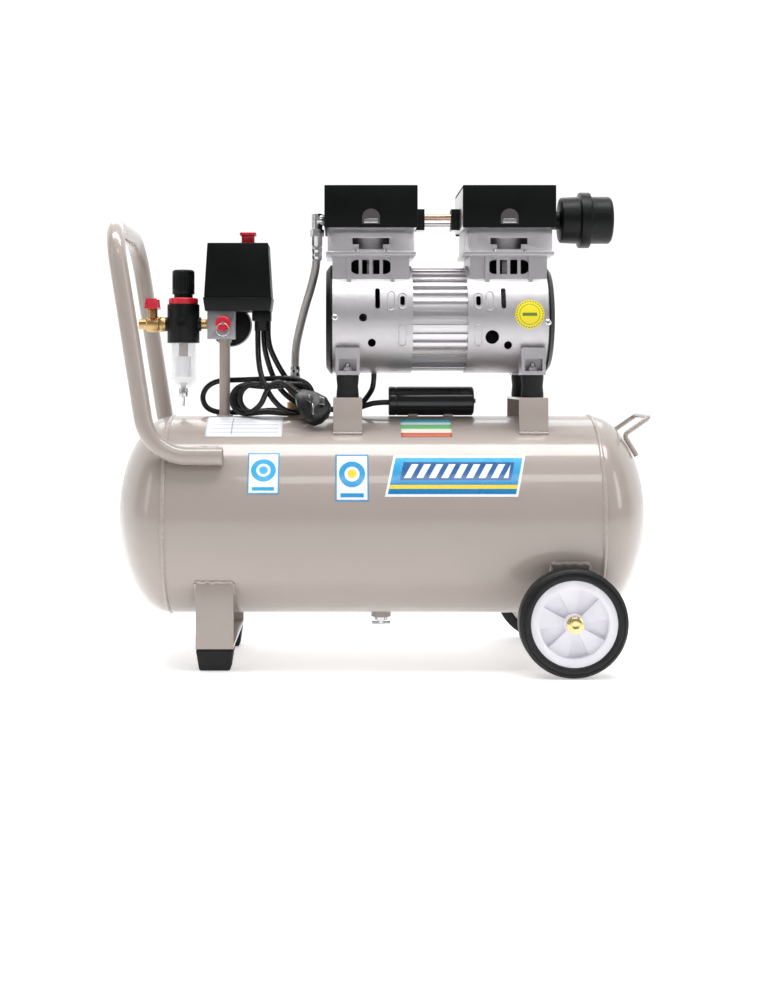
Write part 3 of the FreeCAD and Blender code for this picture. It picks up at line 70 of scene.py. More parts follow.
class Wire:
    # One socket of a material's node tree, or a number, in an expression.
    def __init__(self, maker, socket):
        self.maker = maker
        self.socket = socket

    def calc(self, operation, *values):
        return self.maker.node("ShaderNodeMath", {"operation": operation}, values)

    def __add__(self, other):
        return self.calc("ADD", self, other)

    def __radd__(self, other):
        return self.calc("ADD", other, self)

    def __sub__(self, other):
        return self.calc("SUBTRACT", self, other)

    def __rsub__(self, other):
        return self.calc("SUBTRACT", other, self)

    def __mul__(self, other):
        return self.calc("MULTIPLY", self, other)

    def __rmul__(self, other):
        return self.calc("MULTIPLY", other, self)

    def __truediv__(self, other):
        return self.calc("DIVIDE", self, other)

    def __gt__(self, other):
        return self.calc("GREATER_THAN", self, other)

    def __lt__(self, other):
        return self.calc("LESS_THAN", self, other)

    def frac(self):
        return self.calc("FRACT", self)

    def size(self):
        return self.calc("ABSOLUTE", self)

    def sine(self):
        return self.calc("SINE", self)

    def root(self):
        return self.calc("SQRT", self)

    def either(self, other):
        return self.calc("MAXIMUM", self, other)

    def angleFrom(self, other):
        return self.calc("ARCTAN2", self, other) * (180 / math.pi)


class Finish:
    # A new material; node() makes any node and gives back its output.
    def __init__(self, name, color=(0.5, 0.5, 0.5), **sockets):
        self.material = bpy.data.materials.new(name)
        self.material.use_nodes = True
        self.tree = self.material.node_tree
        self.shader = self.tree.nodes["Principled BSDF"]
        self.shader.inputs["Base Color"].default_value = (*color, 1)
        for socket, value in sockets.items():
            self.shader.inputs[socket.replace("_", " ")].default_value = value

    def put(self, socket, value):
        if isinstance(value, Wire):
            self.tree.links.new(value.socket, socket)
        else:
            socket.default_value = value

    def node(self, kind, settings=None, values=(), out=0):
        made = self.tree.nodes.new(kind)
        for name, value in (settings or {}).items():
            if name == "stops":
                ramp = made.color_ramp
                while len(ramp.elements) < len(value):
                    ramp.elements.new(0.5)
                for element, (place, color) in zip(ramp.elements, value):
                    element.position = place
                    element.color = (*color, 1)
            else:
                setattr(made, name, value)
        pairs = values.items() if isinstance(values, dict) else enumerate(values)
        for key, value in pairs:
            self.put(made.inputs[key], value)
        return Wire(self, made.outputs[out])

    def link(self, socket, value):
        self.put(self.shader.inputs[socket], value)
        return self

    def where(self):
        return self.node("ShaderNodeTexCoord", out="Object")

    def parts(self, vector=None):
        split = self.node("ShaderNodeSeparateXYZ", None, [vector or self.where()])
        outputs = split.socket.node.outputs
        return [Wire(self, outputs[index]) for index in range(3)]

    def stretch(self, scale, vector=None):
        return self.node("ShaderNodeMapping", None, {"Vector": vector or self.where(), "Scale": scale})

    def noise(self, scale, detail=2.0, rough=0.5, vector=None):
        values = {"Vector": vector or self.where(), "Scale": scale, "Detail": detail, "Roughness": rough}
        return self.node("ShaderNodeTexNoise", None, values, out="Fac")

    def ramp(self, value, stops):
        return self.node("ShaderNodeValToRGB", {"stops": stops}, [value])

    def range(self, value, low, high, newLow, newHigh):
        values = {"Value": value, "From Min": low, "From Max": high, "To Min": newLow, "To Max": newHigh}
        return self.node("ShaderNodeMapRange", None, values)

    def blend(self, factor, first, second):
        made = self.tree.nodes.new("ShaderNodeMix")
        made.data_type = "RGBA"
        self.put(made.inputs[0], factor)
        self.put(made.inputs[6], first if isinstance(first, Wire) else (*first, 1))
        self.put(made.inputs[7], second if isinstance(second, Wire) else (*second, 1))
        return Wire(self, made.outputs[2])

    def bump(self, height, strength=0.3, distance=0.001):
        normal = self.node("ShaderNodeBump", None, {"Height": height, "Strength": strength, "Distance": distance})
        return self.link("Normal", normal)


def tint(color, factor):
    return tuple(part * factor for part in color)


def speckled(name, color, roughness, grain, depth, spread=0.12, soft=0.06, scale=14, **sockets):
    # A plain finish with uneven colour and roughness and a fine grain.
    finish = Finish(name, color, **sockets)
    cloud = finish.noise(scale, 4.0, 0.6)
    finish.link("Base Color", finish.blend(cloud, tint(color, 1 - spread), tint(color, 1 + spread)))
    wear = finish.noise(scale * 3.1, 3.0)
    finish.link("Roughness", finish.range(wear, 0.3, 0.7, roughness - soft, roughness + soft))
    if grain:
        finish.bump(finish.noise(grain, 2.0), depth)
    return finish


def makeFinishes():
    made = {}
    paint = {"color": (0.365, 0.312, 0.281), "peel": 210, "wave": 9}
    enamel = Finish("tankEnamel", paint["color"], Coat_Roughness=0.06, Coat_Weight=0.75, Coat_IOR=1.5)
    cloud = enamel.noise(paint["wave"], 3.0)
    enamel.link("Base Color", enamel.blend(cloud, tint(paint["color"], 0.965), tint(paint["color"], 1.035)))
    enamel.link("Roughness", enamel.range(enamel.noise(30, 3.0), 0.3, 0.7, 0.30, 0.38))
    enamel.bump(enamel.noise(paint["peel"], 1.0) + enamel.noise(28, 1.0) * 2.0, 0.045)
    made["enamel"] = enamel
    made["rubber"] = speckled("mouldedRubber", (0.008, 0.008, 0.009), 0.6, 1900, 0.2, 0.3, Specular_IOR_Level=0.3)
    made["tyre"] = speckled("tyreRubber", (0.006, 0.006, 0.007), 0.45, 1500, 0.15, 0.3, Specular_IOR_Level=0.35)
    made["wheel"] = speckled("wheelPlastic", (0.80, 0.79, 0.84), 0.36, 1100, 0.06, 0.03, Subsurface_Weight=0.1,
                             Subsurface_Scale=0.004)
    made["zinc"] = speckled("yellowZinc", (0.72, 0.60, 0.28), 0.25, 900, 0.08, 0.25, scale=60, Metallic=1.0)
    made["brass"] = speckled("machinedBrass", (0.52, 0.35, 0.16), 0.33, 700, 0.1, 0.16, scale=50, Metallic=1.0)
    made["steel"] = speckled("platedSteel", (0.62, 0.62, 0.63), 0.22, 800, 0.06, 0.1, scale=40, Metallic=1.0)
    # painted shade: a near-black finish for the sheets that darken the inside of the crankcases
    made["paintedShade"] = speckled("paintedShade", (0.030, 0.030, 0.032), 0.5, 700, 0.1, 0.2, scale=40, Metallic=0.5)
    made["casting"] = speckled("silverCasting", (0.50, 0.485, 0.505), 0.34, 1300, 0.38, 0.10, scale=30,
                               Metallic=0.9)
    made["zincBlock"] = speckled("zincCasting", (0.36, 0.36, 0.38), 0.38, 1000, 0.3, 0.2, scale=50, Metallic=0.85)
    extrusion = Finish("extrudedAluminium", (0.66, 0.64, 0.66), Metallic=0.85)
    streak = extrusion.noise(1.0, 3.0, 0.6, extrusion.stretch((6, 500, 500)))
    extrusion.link("Base Color", extrusion.blend(streak, (0.58, 0.56, 0.58), (0.72, 0.70, 0.72)))
    extrusion.link("Roughness", extrusion.range(streak, 0.3, 0.7, 0.24, 0.36))
    extrusion.bump(streak, 0.12)
    made["extrusion"] = extrusion
    made["plastic"] = speckled("blackPlastic", (0.0035, 0.0042, 0.0042), 0.36, 1500, 0.22, 0.2,
                               Specular_IOR_Level=0.2)
    made["cover"] = speckled("coverPlastic", (0.0028, 0.0036, 0.0035), 0.40, 1250, 0.30, 0.2,
                             Specular_IOR_Level=0.11)
    made["glossBlack"] = speckled("shrinkSleeve", (0.006, 0.006, 0.007), 0.16, 60, 0.05, 0.2, soft=0.04)
    made["red"] = speckled("redPlastic", (0.60, 0.012, 0.030), 0.30, 900, 0.05, 0.08, scale=40)
    made["redEnamel"] = speckled("redEnamel", (0.50, 0.020, 0.040), 0.30, 500, 0.08, 0.12, scale=60)
    bowl = Finish("clearBowl", (0.93, 0.94, 0.96), Roughness=0.05, IOR=1.49, Alpha=0.22)
    bowl.link("Roughness", bowl.range(bowl.noise(120, 2.0), 0.3, 0.7, 0.03, 0.08))
    bowl.bump(bowl.noise(60, 1.0), 0.05)
    made["bowl"] = bowl
    glass = Finish("gaugeGlass", (0.95, 0.96, 0.97), Roughness=0.03, Alpha=0.12)
    glass.link("Roughness", glass.range(glass.noise(90, 2.0), 0.3, 0.7, 0.02, 0.06))
    made["glass"] = glass
    media = Finish("filterMedia", (0.8, 0.8, 0.8), Roughness=0.7)
    darkTop = 22.5
    high = media.parts()[2] > (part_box("filter_element")[1][2] - darkTop * mm)
    media.link("Base Color", media.blend(high, (0.86, 0.86, 0.88), (0.23, 0.13, 0.075)))
    media.link("Roughness", media.range(media.noise(300), 0.3, 0.7, 0.5, 0.8))
    media.bump(media.noise(2500, 1.0), 0.35)
    made["media"] = media
    made["sheath"] = speckled("cableSheath", (0.005, 0.005, 0.006), 0.30, 500, 0.06, 0.25, soft=0.07, scale=30,
                              Specular_IOR_Level=0.4)
    made["rotorSteel"] = speckled("rotorSteel", (0.2, 0.2, 0.21), 0.4, 900, 0.1, 0.15, Metallic=1.0)
    made["needle"] = speckled("needlePaint", (0.01, 0.01, 0.01), 0.4, 900, 0.05)
    made["copper"] = speckled("copperTube", (0.43, 0.30, 0.22), 0.3, 700, 0.08, 0.15, Metallic=1.0)
    made["mark"] = speckled("coverMark", (0.055, 0.048, 0.050), 0.55, 900, 0.2, 0.12)
    made["weld"] = speckled("weldPaint", (0.385, 0.330, 0.300), 0.30, 260, 0.35, 0.08, scale=70, Coat_Weight=0.6,
                            Coat_Roughness=0.08)
    return made


finishes = makeFinishes()

nodeFinish = {
    "enamel": "tank_shell tank_head_left tank_head_right foot_strap wheel_strap handle_tube tow_hook "
              "riser_pipe pump_brackets",
    "rubber": "rubber_feet rubber_mounts",
    "tyre": "tyre_near tyre_far",
    "wheel": "wheel_rim_near wheel_rim_far",
    "zinc": "wheel_bolts",
    "brass": "inlet_nipple ball_valve_body check_valve",
    "steel": "drain_screw bowl_drain hose_elbow safety_valve_stem safety_valve_ring regulator_spindle "
             "discharge_hose",
    "zincBlock": "manifold_block",
    "casting": "crankcase_left crankcase_right cylinder_left cylinder_right",
    "extrusion": "stator_housing cylinder_heads piston_left piston_right crossover_tubes",
    "rotorSteel": "rotor",
    "plastic": "regulator_body regulator_knob switch_base cable_gland cooling_fans fan_guards air_filter "
               "gauge_case",
    "cover": "switch_cover head_cover_left head_cover_right",
    "glossBlack": "capacitor",
    "red": "regulator_collar safety_valve_body switch_knob",
    "redEnamel": "ball_valve_lever",
    "bowl": "filter_bowl",
    "media": "filter_element",
    "needle": "gauge_needle",
    "sheath": "mains_cord mains_cord_hank plug motor_cables",
}
finishOf = {node: key for key, names in nodeFinish.items() for node in names.split()}


def dress(piece, key):
    piece.data.materials.clear()
    piece.data.materials.append(finishes[key].material)
    return piece


for node, key in finishOf.items():
    dress(bpy.data.objects[node], key)
print("finishes:", len(finishes))


def pickNone():
    bpy.ops.object.select_all(action="DESELECT")


def only(piece):
    pickNone()
    piece.select_set(True)
    bpy.context.view_layer.objects.active = piece
    return piece


def applyAll(piece):
    only(piece)
    for modifier in list(piece.modifiers):
        bpy.ops.object.modifier_apply(modifier=modifier.name)
    return piece


def settle(piece):
    only(piece)
    bpy.ops.object.transform_apply(location=True, rotation=True, scale=True)
    return piece


def smooth(piece, angle=35):
    only(piece)
    bpy.ops.object.shade_smooth_by_angle(angle=math.radians(angle))
    return piece


def softened(node, width, body="tank"):
    # A CAD node's shape again with its hard edges rounded.
    source = bpy.data.objects[node]
    piece = source.copy()
    piece.data = source.data.copy()
    piece.name = node.replace("_", "") + "Soft"
    piece.parent = None
    bpy.context.scene.collection.objects.link(piece)
    only(piece)
    bpy.ops.object.mode_set(mode="EDIT")
    bpy.ops.mesh.select_all(action="SELECT")
    bpy.ops.mesh.remove_doubles(threshold=0.00001)
    bpy.ops.mesh.dissolve_limited(angle_limit=math.radians(1.0))
    bpy.ops.object.mode_set(mode="OBJECT")
    bevel = piece.modifiers.new("edge", "BEVEL")
    bevel.width = width * mm
    bevel.segments = 2
    bevel.limit_method = "ANGLE"
    bevel.angle_limit = math.radians(35)
    bevel.harden_normals = False
    applyAll(piece)
    smooth(piece, 40)
    dress(piece, finishOf[node])
    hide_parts(node)
    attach(piece, body)
    return piece


def spline(name, points, radius, key, resolution=6, facets=4):
    # A smooth round cord through points (mm).
    curve = bpy.data.curves.new(name, "CURVE")
    curve.dimensions = "3D"
    line = curve.splines.new("NURBS")
    line.points.add(len(points) - 1)
    for point, place in zip(line.points, points):
        point.co = (*[part * mm for part in place], 1)
    line.order_u = 3
    line.use_endpoint_u = True
    line.resolution_u = resolution
    curve.bevel_depth = radius * mm
    curve.bevel_resolution = facets
    curve.use_fill_caps = True
    piece = bpy.data.objects.new(name, curve)
    bpy.context.scene.collection.objects.link(piece)
    piece.data.materials.append(finishes[key].material)
    return piece


def makeCamera():
    view = {"stand": (-52.5, -1900, 360), "lens": 53.4, "shift": (0.0385, -0.125)}
    camera = bpy.data.cameras.new("camera")
    camera.lens = view["lens"]
    camera.shift_x, camera.shift_y = view["shift"]
    camera.clip_end = 50
    holder = bpy.data.objects.new("camera", camera)
    holder.location = [part * mm for part in view["stand"]]
    holder.rotation_euler = (math.radians(90), 0, 0)
    bpy.context.scene.collection.objects.link(holder)
    bpy.context.scene.camera = holder


def makeLamp(name, place, aim, size, power, color=(1, 1, 1)):
    lamp = bpy.data.lights.new(name, "AREA")
    lamp.shape = "RECTANGLE"
    lamp.size, lamp.size_y = size
    lamp.energy = power
    lamp.color = color
    holder = bpy.data.objects.new(name, lamp)
    holder.location = place
    holder.rotation_euler = (Vector(aim) - Vector(place)).to_track_quat("-Z", "Y").to_euler()
    bpy.context.scene.collection.objects.link(holder)


def makeStudio():
    room = {"world": 0.30, "backdrop": 1.05, "floorGlow": 0.42, "floor": 0.92}
    lamps = {
        "overhead": ((0.0, -0.25, 1.9), (0, 0, 0.3), (2.2, 0.5), 33),
        "front": ((0.5, -2.4, 2.6), (0, 0, 0.3), (1.8, 0.5), 13),
        "left": ((-2.2, -0.9, 1.0), (0, 0, 0.35), (0.5, 1.5), 5),
        "right": ((2.3, -1.0, 1.2), (0, 0, 0.35), (0.5, 1.5), 9),
        "behind": ((0.0, 1.8, 1.9), (0, 0, 0.4), (2.4, 0.8), 10),
    }
    for name, (place, aim, size, power) in lamps.items():
        makeLamp(name, place, aim, size, power)
    world = bpy.data.worlds.new("studio")
    world.use_nodes = True
    world.node_tree.nodes["Background"].inputs["Color"].default_value = (1, 1, 1, 1)
    world.node_tree.nodes["Background"].inputs["Strength"].default_value = room["world"]
    bpy.context.scene.world = world
    bpy.context.scene.view_settings.view_transform = "Standard"
    pickNone()
    bpy.ops.mesh.primitive_plane_add(size=8.4, location=(0, 0, -0.0004))
    floor = bpy.context.object
    floor.name = "floor"
    paper = speckled("paleFloor", (room["floor"],) * 3, 0.6, 0, 0, 0.01, Emission_Color=(1, 1, 1, 1),
                     Emission_Strength=room["floorGlow"])
    floor.data.materials.append(paper.material)
    pickNone()
    bpy.ops.mesh.primitive_plane_add(size=30, location=(0, 4.19, 0), rotation=(math.radians(90), 0, 0))
    backdrop = bpy.context.object
    backdrop.name = "backdrop"
    glow = Finish("backdropPaper", (0, 0, 0), Emission_Color=(1, 1, 1, 1), Emission_Strength=room["backdrop"])
    backdrop.data.materials.append(glow.material)


makeCamera()
makeStudio()
print("camera and studio")


def hankTurn(column, pitch, shift, lift):
    # One turn of the hank: along the bottom, up round the right end, back along the top, down the left end.
    hank = {"centre": 330.5, "radius": 18, "right": -113, "left": -167}
    reach = hank["radius"] / math.cos(math.radians(15))
    waist = ((-118.5, 0.2), (-129, 1.4), (-140, 2.2), (-151, 1.4), (-161.5, 0.2))
    outline = []
    for end, first, level in (("right", -75, 1), ("left", 105, -1)):
        for step in range(6):
            angle = math.radians(first + 30 * step)
            outline.append((hank[end] + reach * math.cos(angle), hank["centre"] + reach * math.sin(angle)))
        for x, dip in waist[::level]:
            outline.append((x, hank["centre"] + level * (hank["radius"] - dip)))
    count = len(outline)
    return [(x + shift, column + pitch * index / count, z + lift) for index, (x, z) in enumerate(outline)]


def makeMainsCord():
    cord = {"diameter": 7, "firstColumn": -2.5, "pitch": -6.9, "turns": [(1, 0.5), (-5, -1.5), (6, 0)]}
    start = [
        (-157.5, -3.5, 416.5),
        (-157.5, -3.5, 400),
        (-156.5, -11, 380),
        (-153, -22, 361),
        (-146, -31, 344),
        (-137, -34, 329),
        (-124, -33, 316),
        (-108, -29, 312),
        (-93, -23, 318),
        (-86, -17, 333),
        (-92, -11, 348),
        (-108, -9, 355.5),
        (-128, -8, 356),
        (-150, -3, 355),
        (-172, 6, 354),
        (-192, 14, 353.5),
        (-212, 16.5, 352.5),
        (-226, 16.5, 344),
        (-231, 16.5, 330),
        (-225, 16.5, 317),
        (-209, 15.8, 311.3),
        (-190, 13, 311.8),
        (-170, 5, 312.5),
        (-156, 1, 313.8),
        (-144, -1, 314.6),
        (-131, -2, 314.2),
        (-119, -2.4, 312.8),
    ]
    middle = []
    for turn, (shift, lift) in enumerate(cord["turns"]):
        middle += hankTurn(cord["firstColumn"] + cord["pitch"] * turn, cord["pitch"], shift, lift)
    middle = middle[:-5]
    end = [
        (-160, -26.5, 316),
        (-151, -34.5, 324),
        (-146, -39, 337),
        (-139, -38.5, 348),
        (-130, -35, 352),
        (-118, -34.4, 346.2),
        (-104.3, -41, 334.7),
    ]
    piece = spline("mainsLead", start + middle + end, cord["diameter"] / 2, "sheath")
    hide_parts("mains_cord", "mains_cord_hank")
    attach(piece, "tank")
    return piece


def curveLength(piece):
    # The length of a cord's middle line.
    shape = piece.copy()
    shape.data = piece.data.copy()
    shape.data.bevel_depth = 0
    bpy.context.scene.collection.objects.link(shape)
    mesh = bpy.data.meshes.new_from_object(shape.evaluated_get(bpy.context.evaluated_depsgraph_get()))
    places = [vertex.co for vertex in mesh.vertices]
    total = sum((places[edge.vertices[0]] - places[edge.vertices[1]]).length for edge in mesh.edges)
    bpy.data.objects.remove(shape)
    return total


mainsLead = makeMainsCord()
print("mains lead", round(curveLength(mainsLead), 3), "m")

motorLeads = {
    "motorLead": [
        (-150.5, 5, 416.5), (-150.5, 5, 400), (-146, 8, 379), (-139, 11, 358), (-128, 13, 339), (-111, 14, 325),
        (-88, 15, 318), (-64, 17, 315.6), (-43, 17, 315.4), (-27, 16, 320), (-16, 10, 333), (-9, 0, 346),
        (-9, 0, 362.4),
    ],
    "capacitorLead": [
        (-144.5, -3, 416.5), (-144.5, -3, 401), (-136, -1, 380), (-124, 2, 359), (-110, 5, 341), (-95, 6, 326),
        (-76, 6, 318), (-54, 6, 314), (-36, 4, 315), (-20, 1, 321), (-6, 0, 325), (9.5, 0, 325),
    ],
}


def makeMotorLeads():
    lead = {"diameter": 7}
    for name, points in motorLeads.items():
        piece = spline(name, points, lead["diameter"] / 2, "sheath", facets=3)
        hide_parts("motor_cables")
        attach(piece, "tank")
        curveLength(piece)


def makeHose():
    hose = {"radius": 5.25, "sides": 24, "strands": 12, "wires": 5.0, "pitch": 34}
    points = [
        (-82, 0, 525), (-82, 0, 503), (-89, 5, 474), (-98, 13, 446), (-105, 21, 419), (-110, 28, 396),
        (-111, 34, 374), (-111, 34, 353.8),
    ]
    route = spline("hoseRoute", points, 0, "steel", resolution=12)
    mesh = bpy.data.meshes.new_from_object(route.evaluated_get(bpy.context.evaluated_depsgraph_get()))
    path = [vertex.co.copy() for vertex in mesh.vertices]
    bpy.data.objects.remove(route)
    total = sum((b - a).length for a, b in zip(path, path[1:]))
    piece = tubeMesh("braidedHose", path, hose["radius"] * mm, hose["sides"])
    braid = Finish("steelBraid", (0.5, 0.5, 0.5), Metallic=0.9, Roughness=0.32)
    uv = braid.node("ShaderNodeUVMap")
    along, around = braid.parts(uv)[:2]
    strands = hose["strands"]
    wound = total / mm / hose["pitch"] * strands
    first = (around * strands + along * wound).frac()
    second = (around * strands - along * wound).frac()
    firstRidge = ((first - 0.5).size() * -2.0 + 1.0) * (second > 0.5)
    secondRidge = ((second - 0.5).size() * -2.0 + 1.0) * (second < 0.5)
    height = firstRidge * 0.9 + secondRidge
    wires = ((around * (strands * hose["wires"]) + along * (wound * hose["wires"])).frac() - 0.5).size()
    # painted shade and highlight: the braid is dark in the grooves between strands and bright on their crowns,
    # following the ridge height
    braid.link("Base Color", braid.blend(height, (0.22, 0.21, 0.20), (0.86, 0.84, 0.81)))
    braid.link("Roughness", braid.range(height, 0, 1, 0.5, 0.25))
    braid.bump(height + wires * 0.4, 0.7, 0.0006)
    piece.data.materials.append(braid.material)
    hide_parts("discharge_hose")
    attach(piece, "tank")


def tubeMesh(name, path, radius, sides):
    # A closed tube along path, with a UV map: along the length, around the section.
    mesh = bpy.data.meshes.new(name)
    shape = bmesh.new()
    layer = shape.loops.layers.uv.new("UVMap")
    side = Vector((0, 1, 0))
    rings = []
    travel = [0.0]
    for index, place in enumerate(path):
        before = path[max(index - 1, 0)]
        after = path[min(index + 1, len(path) - 1)]
        direction = (after - before).normalized()
        side = (side - direction * side.dot(direction)).normalized()
        other = direction.cross(side)
        ring = []
        for step in range(sides):
            angle = 2 * math.pi * step / sides
            ring.append(shape.verts.new(place + radius * (math.cos(angle) * side + math.sin(angle) * other)))
        rings.append(ring)
        if index:
            travel.append(travel[-1] + (place - path[index - 1]).length)
    for index in range(len(rings) - 1):
        for step in range(sides):
            following = (step + 1) % sides
            face = shape.faces.new((rings[index][step], rings[index][following],
                                    rings[index + 1][following], rings[index + 1][step]))
            face.smooth = True
            corners = [(index, step), (index, step + 1), (index + 1, step + 1), (index + 1, step)]
            for loop, (ringIndex, turn) in zip(face.loops, corners):
                loop[layer].uv = (travel[ringIndex] / travel[-1], turn / sides)
    shape.faces.new(list(reversed(rings[0])))
    shape.faces.new(rings[-1])
    bmesh.ops.recalc_face_normals(shape, faces=shape.faces)
    shape.to_mesh(mesh)
    shape.free()
    piece = bpy.data.objects.new(name, mesh)
    bpy.context.scene.collection.objects.link(piece)
    return piece


makeMotorLeads()
makeHose()
print("hose and leads")


def softenParts():
    widths = {
        "head_cover_left": 2.2, "head_cover_right": 2.2, "cylinder_left": 1.0, "cylinder_right": 1.0,
        "cylinder_heads": 0.8, "manifold_block": 0.8, "cable_gland": 1.2, "pump_brackets": 1.0,
        "foot_strap": 0.8, "wheel_strap": 0.8, "rubber_feet": 2.5, "switch_base": 1.5, "switch_cover": 1.8,
        "crossover_tubes": 0.8, "air_filter": 1.2, "regulator_collar": 0.5, "regulator_body": 0.8,
        "capacitor": 0.8, "hose_elbow": 0.6, "check_valve": 0.6, "inlet_nipple": 0.5,
        "ball_valve_body": 0.7, "gauge_case": 0.7, "plug": 1.6, "rubber_mounts": 0.8,
    }
    for node, width in widths.items():
        softened(node, width)
    moving = {
        "switch_knob": (0.9, "power_button"), "ball_valve_lever": (0.5, "valve_lever"),
        "regulator_knob": (0.5, "regulator_dial"), "tyre_near": (3.0, "wheel_near"), "tyre_far": (3.0, "wheel_far"),
        "wheel_rim_near": (0.8, "wheel_near"), "wheel_rim_far": (0.8, "wheel_far"), "bowl_drain": (0.4, "bowl_tap"),
    }
    for node, (width, body) in moving.items():
        softened(node, width, body=body)


softenParts()
print("softened parts")

# Tools for new pieces: turned shapes, beads, thin patches and boxes.
foil = 0.16  # mm, the thickness of a sticker
aims = {"+Y": (-90, 0, 0), "-Y": (90, 0, 0), "+Z": (0, 0, 0), "-Z": (180, 0, 0)}


def turned(name, steps, place, aim, key, segments=40):
    # steps are (distance along the axis, radius) pairs in mm, starting at place.
    pickNone()
    bpy.ops.mesh.primitive_circle_add(vertices=segments, radius=steps[0][1] * mm, fill_type="NGON")
    piece = bpy.context.object
    piece.name = name
    bpy.ops.object.mode_set(mode="EDIT")
    bpy.ops.mesh.select_all(action="SELECT")
    for (before, oldRadius), (after, newRadius) in zip(steps, steps[1:]):
        bpy.ops.mesh.extrude_region_move(TRANSFORM_OT_translate={"value": (0, 0, (after - before) * mm)})
        share = newRadius / oldRadius
        bpy.ops.transform.resize(value=(share, share, 1), center_override=(0, 0, 0))
    bpy.ops.mesh.select_all(action="SELECT")
    bpy.ops.mesh.normals_make_consistent(inside=False)
    bpy.ops.object.mode_set(mode="OBJECT")
    turn = aims[aim] if isinstance(aim, str) else aim
    piece.rotation_euler = [math.radians(angle) for angle in turn]
    piece.location = [part * mm for part in place]
    settle(piece)
    smooth(piece)
    dress(piece, key)
    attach(piece, "tank")
    return piece


def bead(name, path, radius, key="weld", closed=False, lumps=0.16, seed=1, body="tank"):
    # A run of weld along path, a little uneven.
    picker = random.Random(seed)
    curve = bpy.data.curves.new(name, "CURVE")
    curve.dimensions = "3D"
    line = curve.splines.new("NURBS")
    line.points.add(len(path) - 1)
    for point, place in zip(line.points, path):
        point.co = (*[part * mm for part in place], 1)
        point.radius = 1 + picker.uniform(-lumps, lumps)
    line.order_u = 3
    line.use_cyclic_u = closed
    line.use_endpoint_u = not closed
    line.resolution_u = 2
    curve.bevel_depth = radius * mm
    curve.bevel_resolution = 2
    curve.use_fill_caps = not closed
    piece = bpy.data.objects.new(name, curve)
    bpy.context.scene.collection.objects.link(piece)
    dress(piece, key)
    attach(piece, body)
    return piece


def patch(name, across, around, radius, axis, material, steps):
    # A thin sticker wrapped on a level drum: across is its X span, around its angles above level.
    pickNone()
    bpy.ops.mesh.primitive_grid_add(x_subdivisions=steps[0], y_subdivisions=steps[1], size=2, calc_uvs=True)
    piece = bpy.context.object
    piece.name = name
    for vertex in piece.data.vertices:
        u, v = (vertex.co.x + 1) / 2, (vertex.co.y + 1) / 2  # 0 to 1 over the grid
        angle = math.radians(around[0] + (around[1] - around[0]) * v)
        x = across[0] + (across[1] - across[0]) * u
        vertex.co = (x * mm, -(radius * math.cos(angle)) * mm, (axis + radius * math.sin(angle)) * mm)
    wall = piece.modifiers.new("wall", "SOLIDIFY")
    wall.thickness = foil * mm
    wall.offset = 1
    applyAll(piece)
    only(piece)
    bpy.ops.object.shade_smooth()
    piece.data.materials.append(material)
    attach(piece, "tank")
    return piece


def box(name, low, high, key, edge):
    # A cube stretched between two corners with its edges rounded.
    pickNone()
    middle = [(a + b) / 2 * mm for a, b in zip(low, high)]
    bpy.ops.mesh.primitive_cube_add(size=1, location=middle)
    piece = bpy.context.object
    piece.name = name
    bpy.ops.object.mode_set(mode="EDIT")
    bpy.ops.mesh.select_all(action="SELECT")
    bpy.ops.transform.resize(value=[(b - a) * mm for a, b in zip(low, high)], center_override=middle)
    bpy.ops.mesh.bevel(offset=edge * mm, segments=2)
    bpy.ops.object.mode_set(mode="OBJECT")
    settle(piece)
    smooth(piece)
    dress(piece, key)
    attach(piece, "tank")


def mirrored(piece, name):
    # The same piece on the other side of the middle, with its own mesh.
    other = piece.copy()
    other.data = piece.data.copy()
    other.name = name
    bpy.context.scene.collection.objects.link(other)
    other.scale = (1, -1, 1)
    settle(other)
    bpy.ops.object.mode_set(mode="EDIT")
    bpy.ops.mesh.select_all(action="SELECT")
    bpy.ops.mesh.normals_make_consistent(inside=False)
    bpy.ops.object.mode_set(mode="OBJECT")
    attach(other, "tank")


def paintZones(piece, tests):
    # Gives faces another finish by where their middles are (mm).
    for key, test in tests:
        piece.data.materials.append(finishes[key].material)
        slot = len(piece.data.materials) - 1
        for face in piece.data.polygons:
            if test(*[part / mm for part in face.center]):
                face.material_index = slot


def shadeNodes():
    softOf = bpy.data.objects
    paintZones(softOf["gaugecaseSoft"], [
        ("steel", lambda x, y, z: y > 50.5 and (x + 196) ** 2 + (z - 425) ** 2 > 590),  # the gauge's rim
    ])
    paintZones(softOf["crossovertubesSoft"], [
        ("plastic", lambda x, y, z: (x < 55.4 or x > 88.6) and z > 549),
        ("copper", lambda x, y, z: 55.4 < x < 88.6 and z > 557.2),
    ])
    lean = Matrix.Rotation(math.radians(60), 3, "X") @ Matrix.Rotation(math.radians(-44), 3, "Z")
    outward = lean @ Vector((0, 0, 1))
    plugFoot = Vector((-87, -42, 316))
    paintZones(softOf["plugSoft"], [
        ("steel", lambda x, y, z: (Vector((x, y, z)) - plugFoot).dot(outward) > 17.3),
    ])
    headZones = [("extrusion", lambda x, y, z: abs(y) < 56.5 and z < 593 and (x > 40 if x < 72 else x < 104))]
    for name in ("headcoverleftSoft", "headcoverrightSoft"):
        paintZones(softOf[name], headZones)


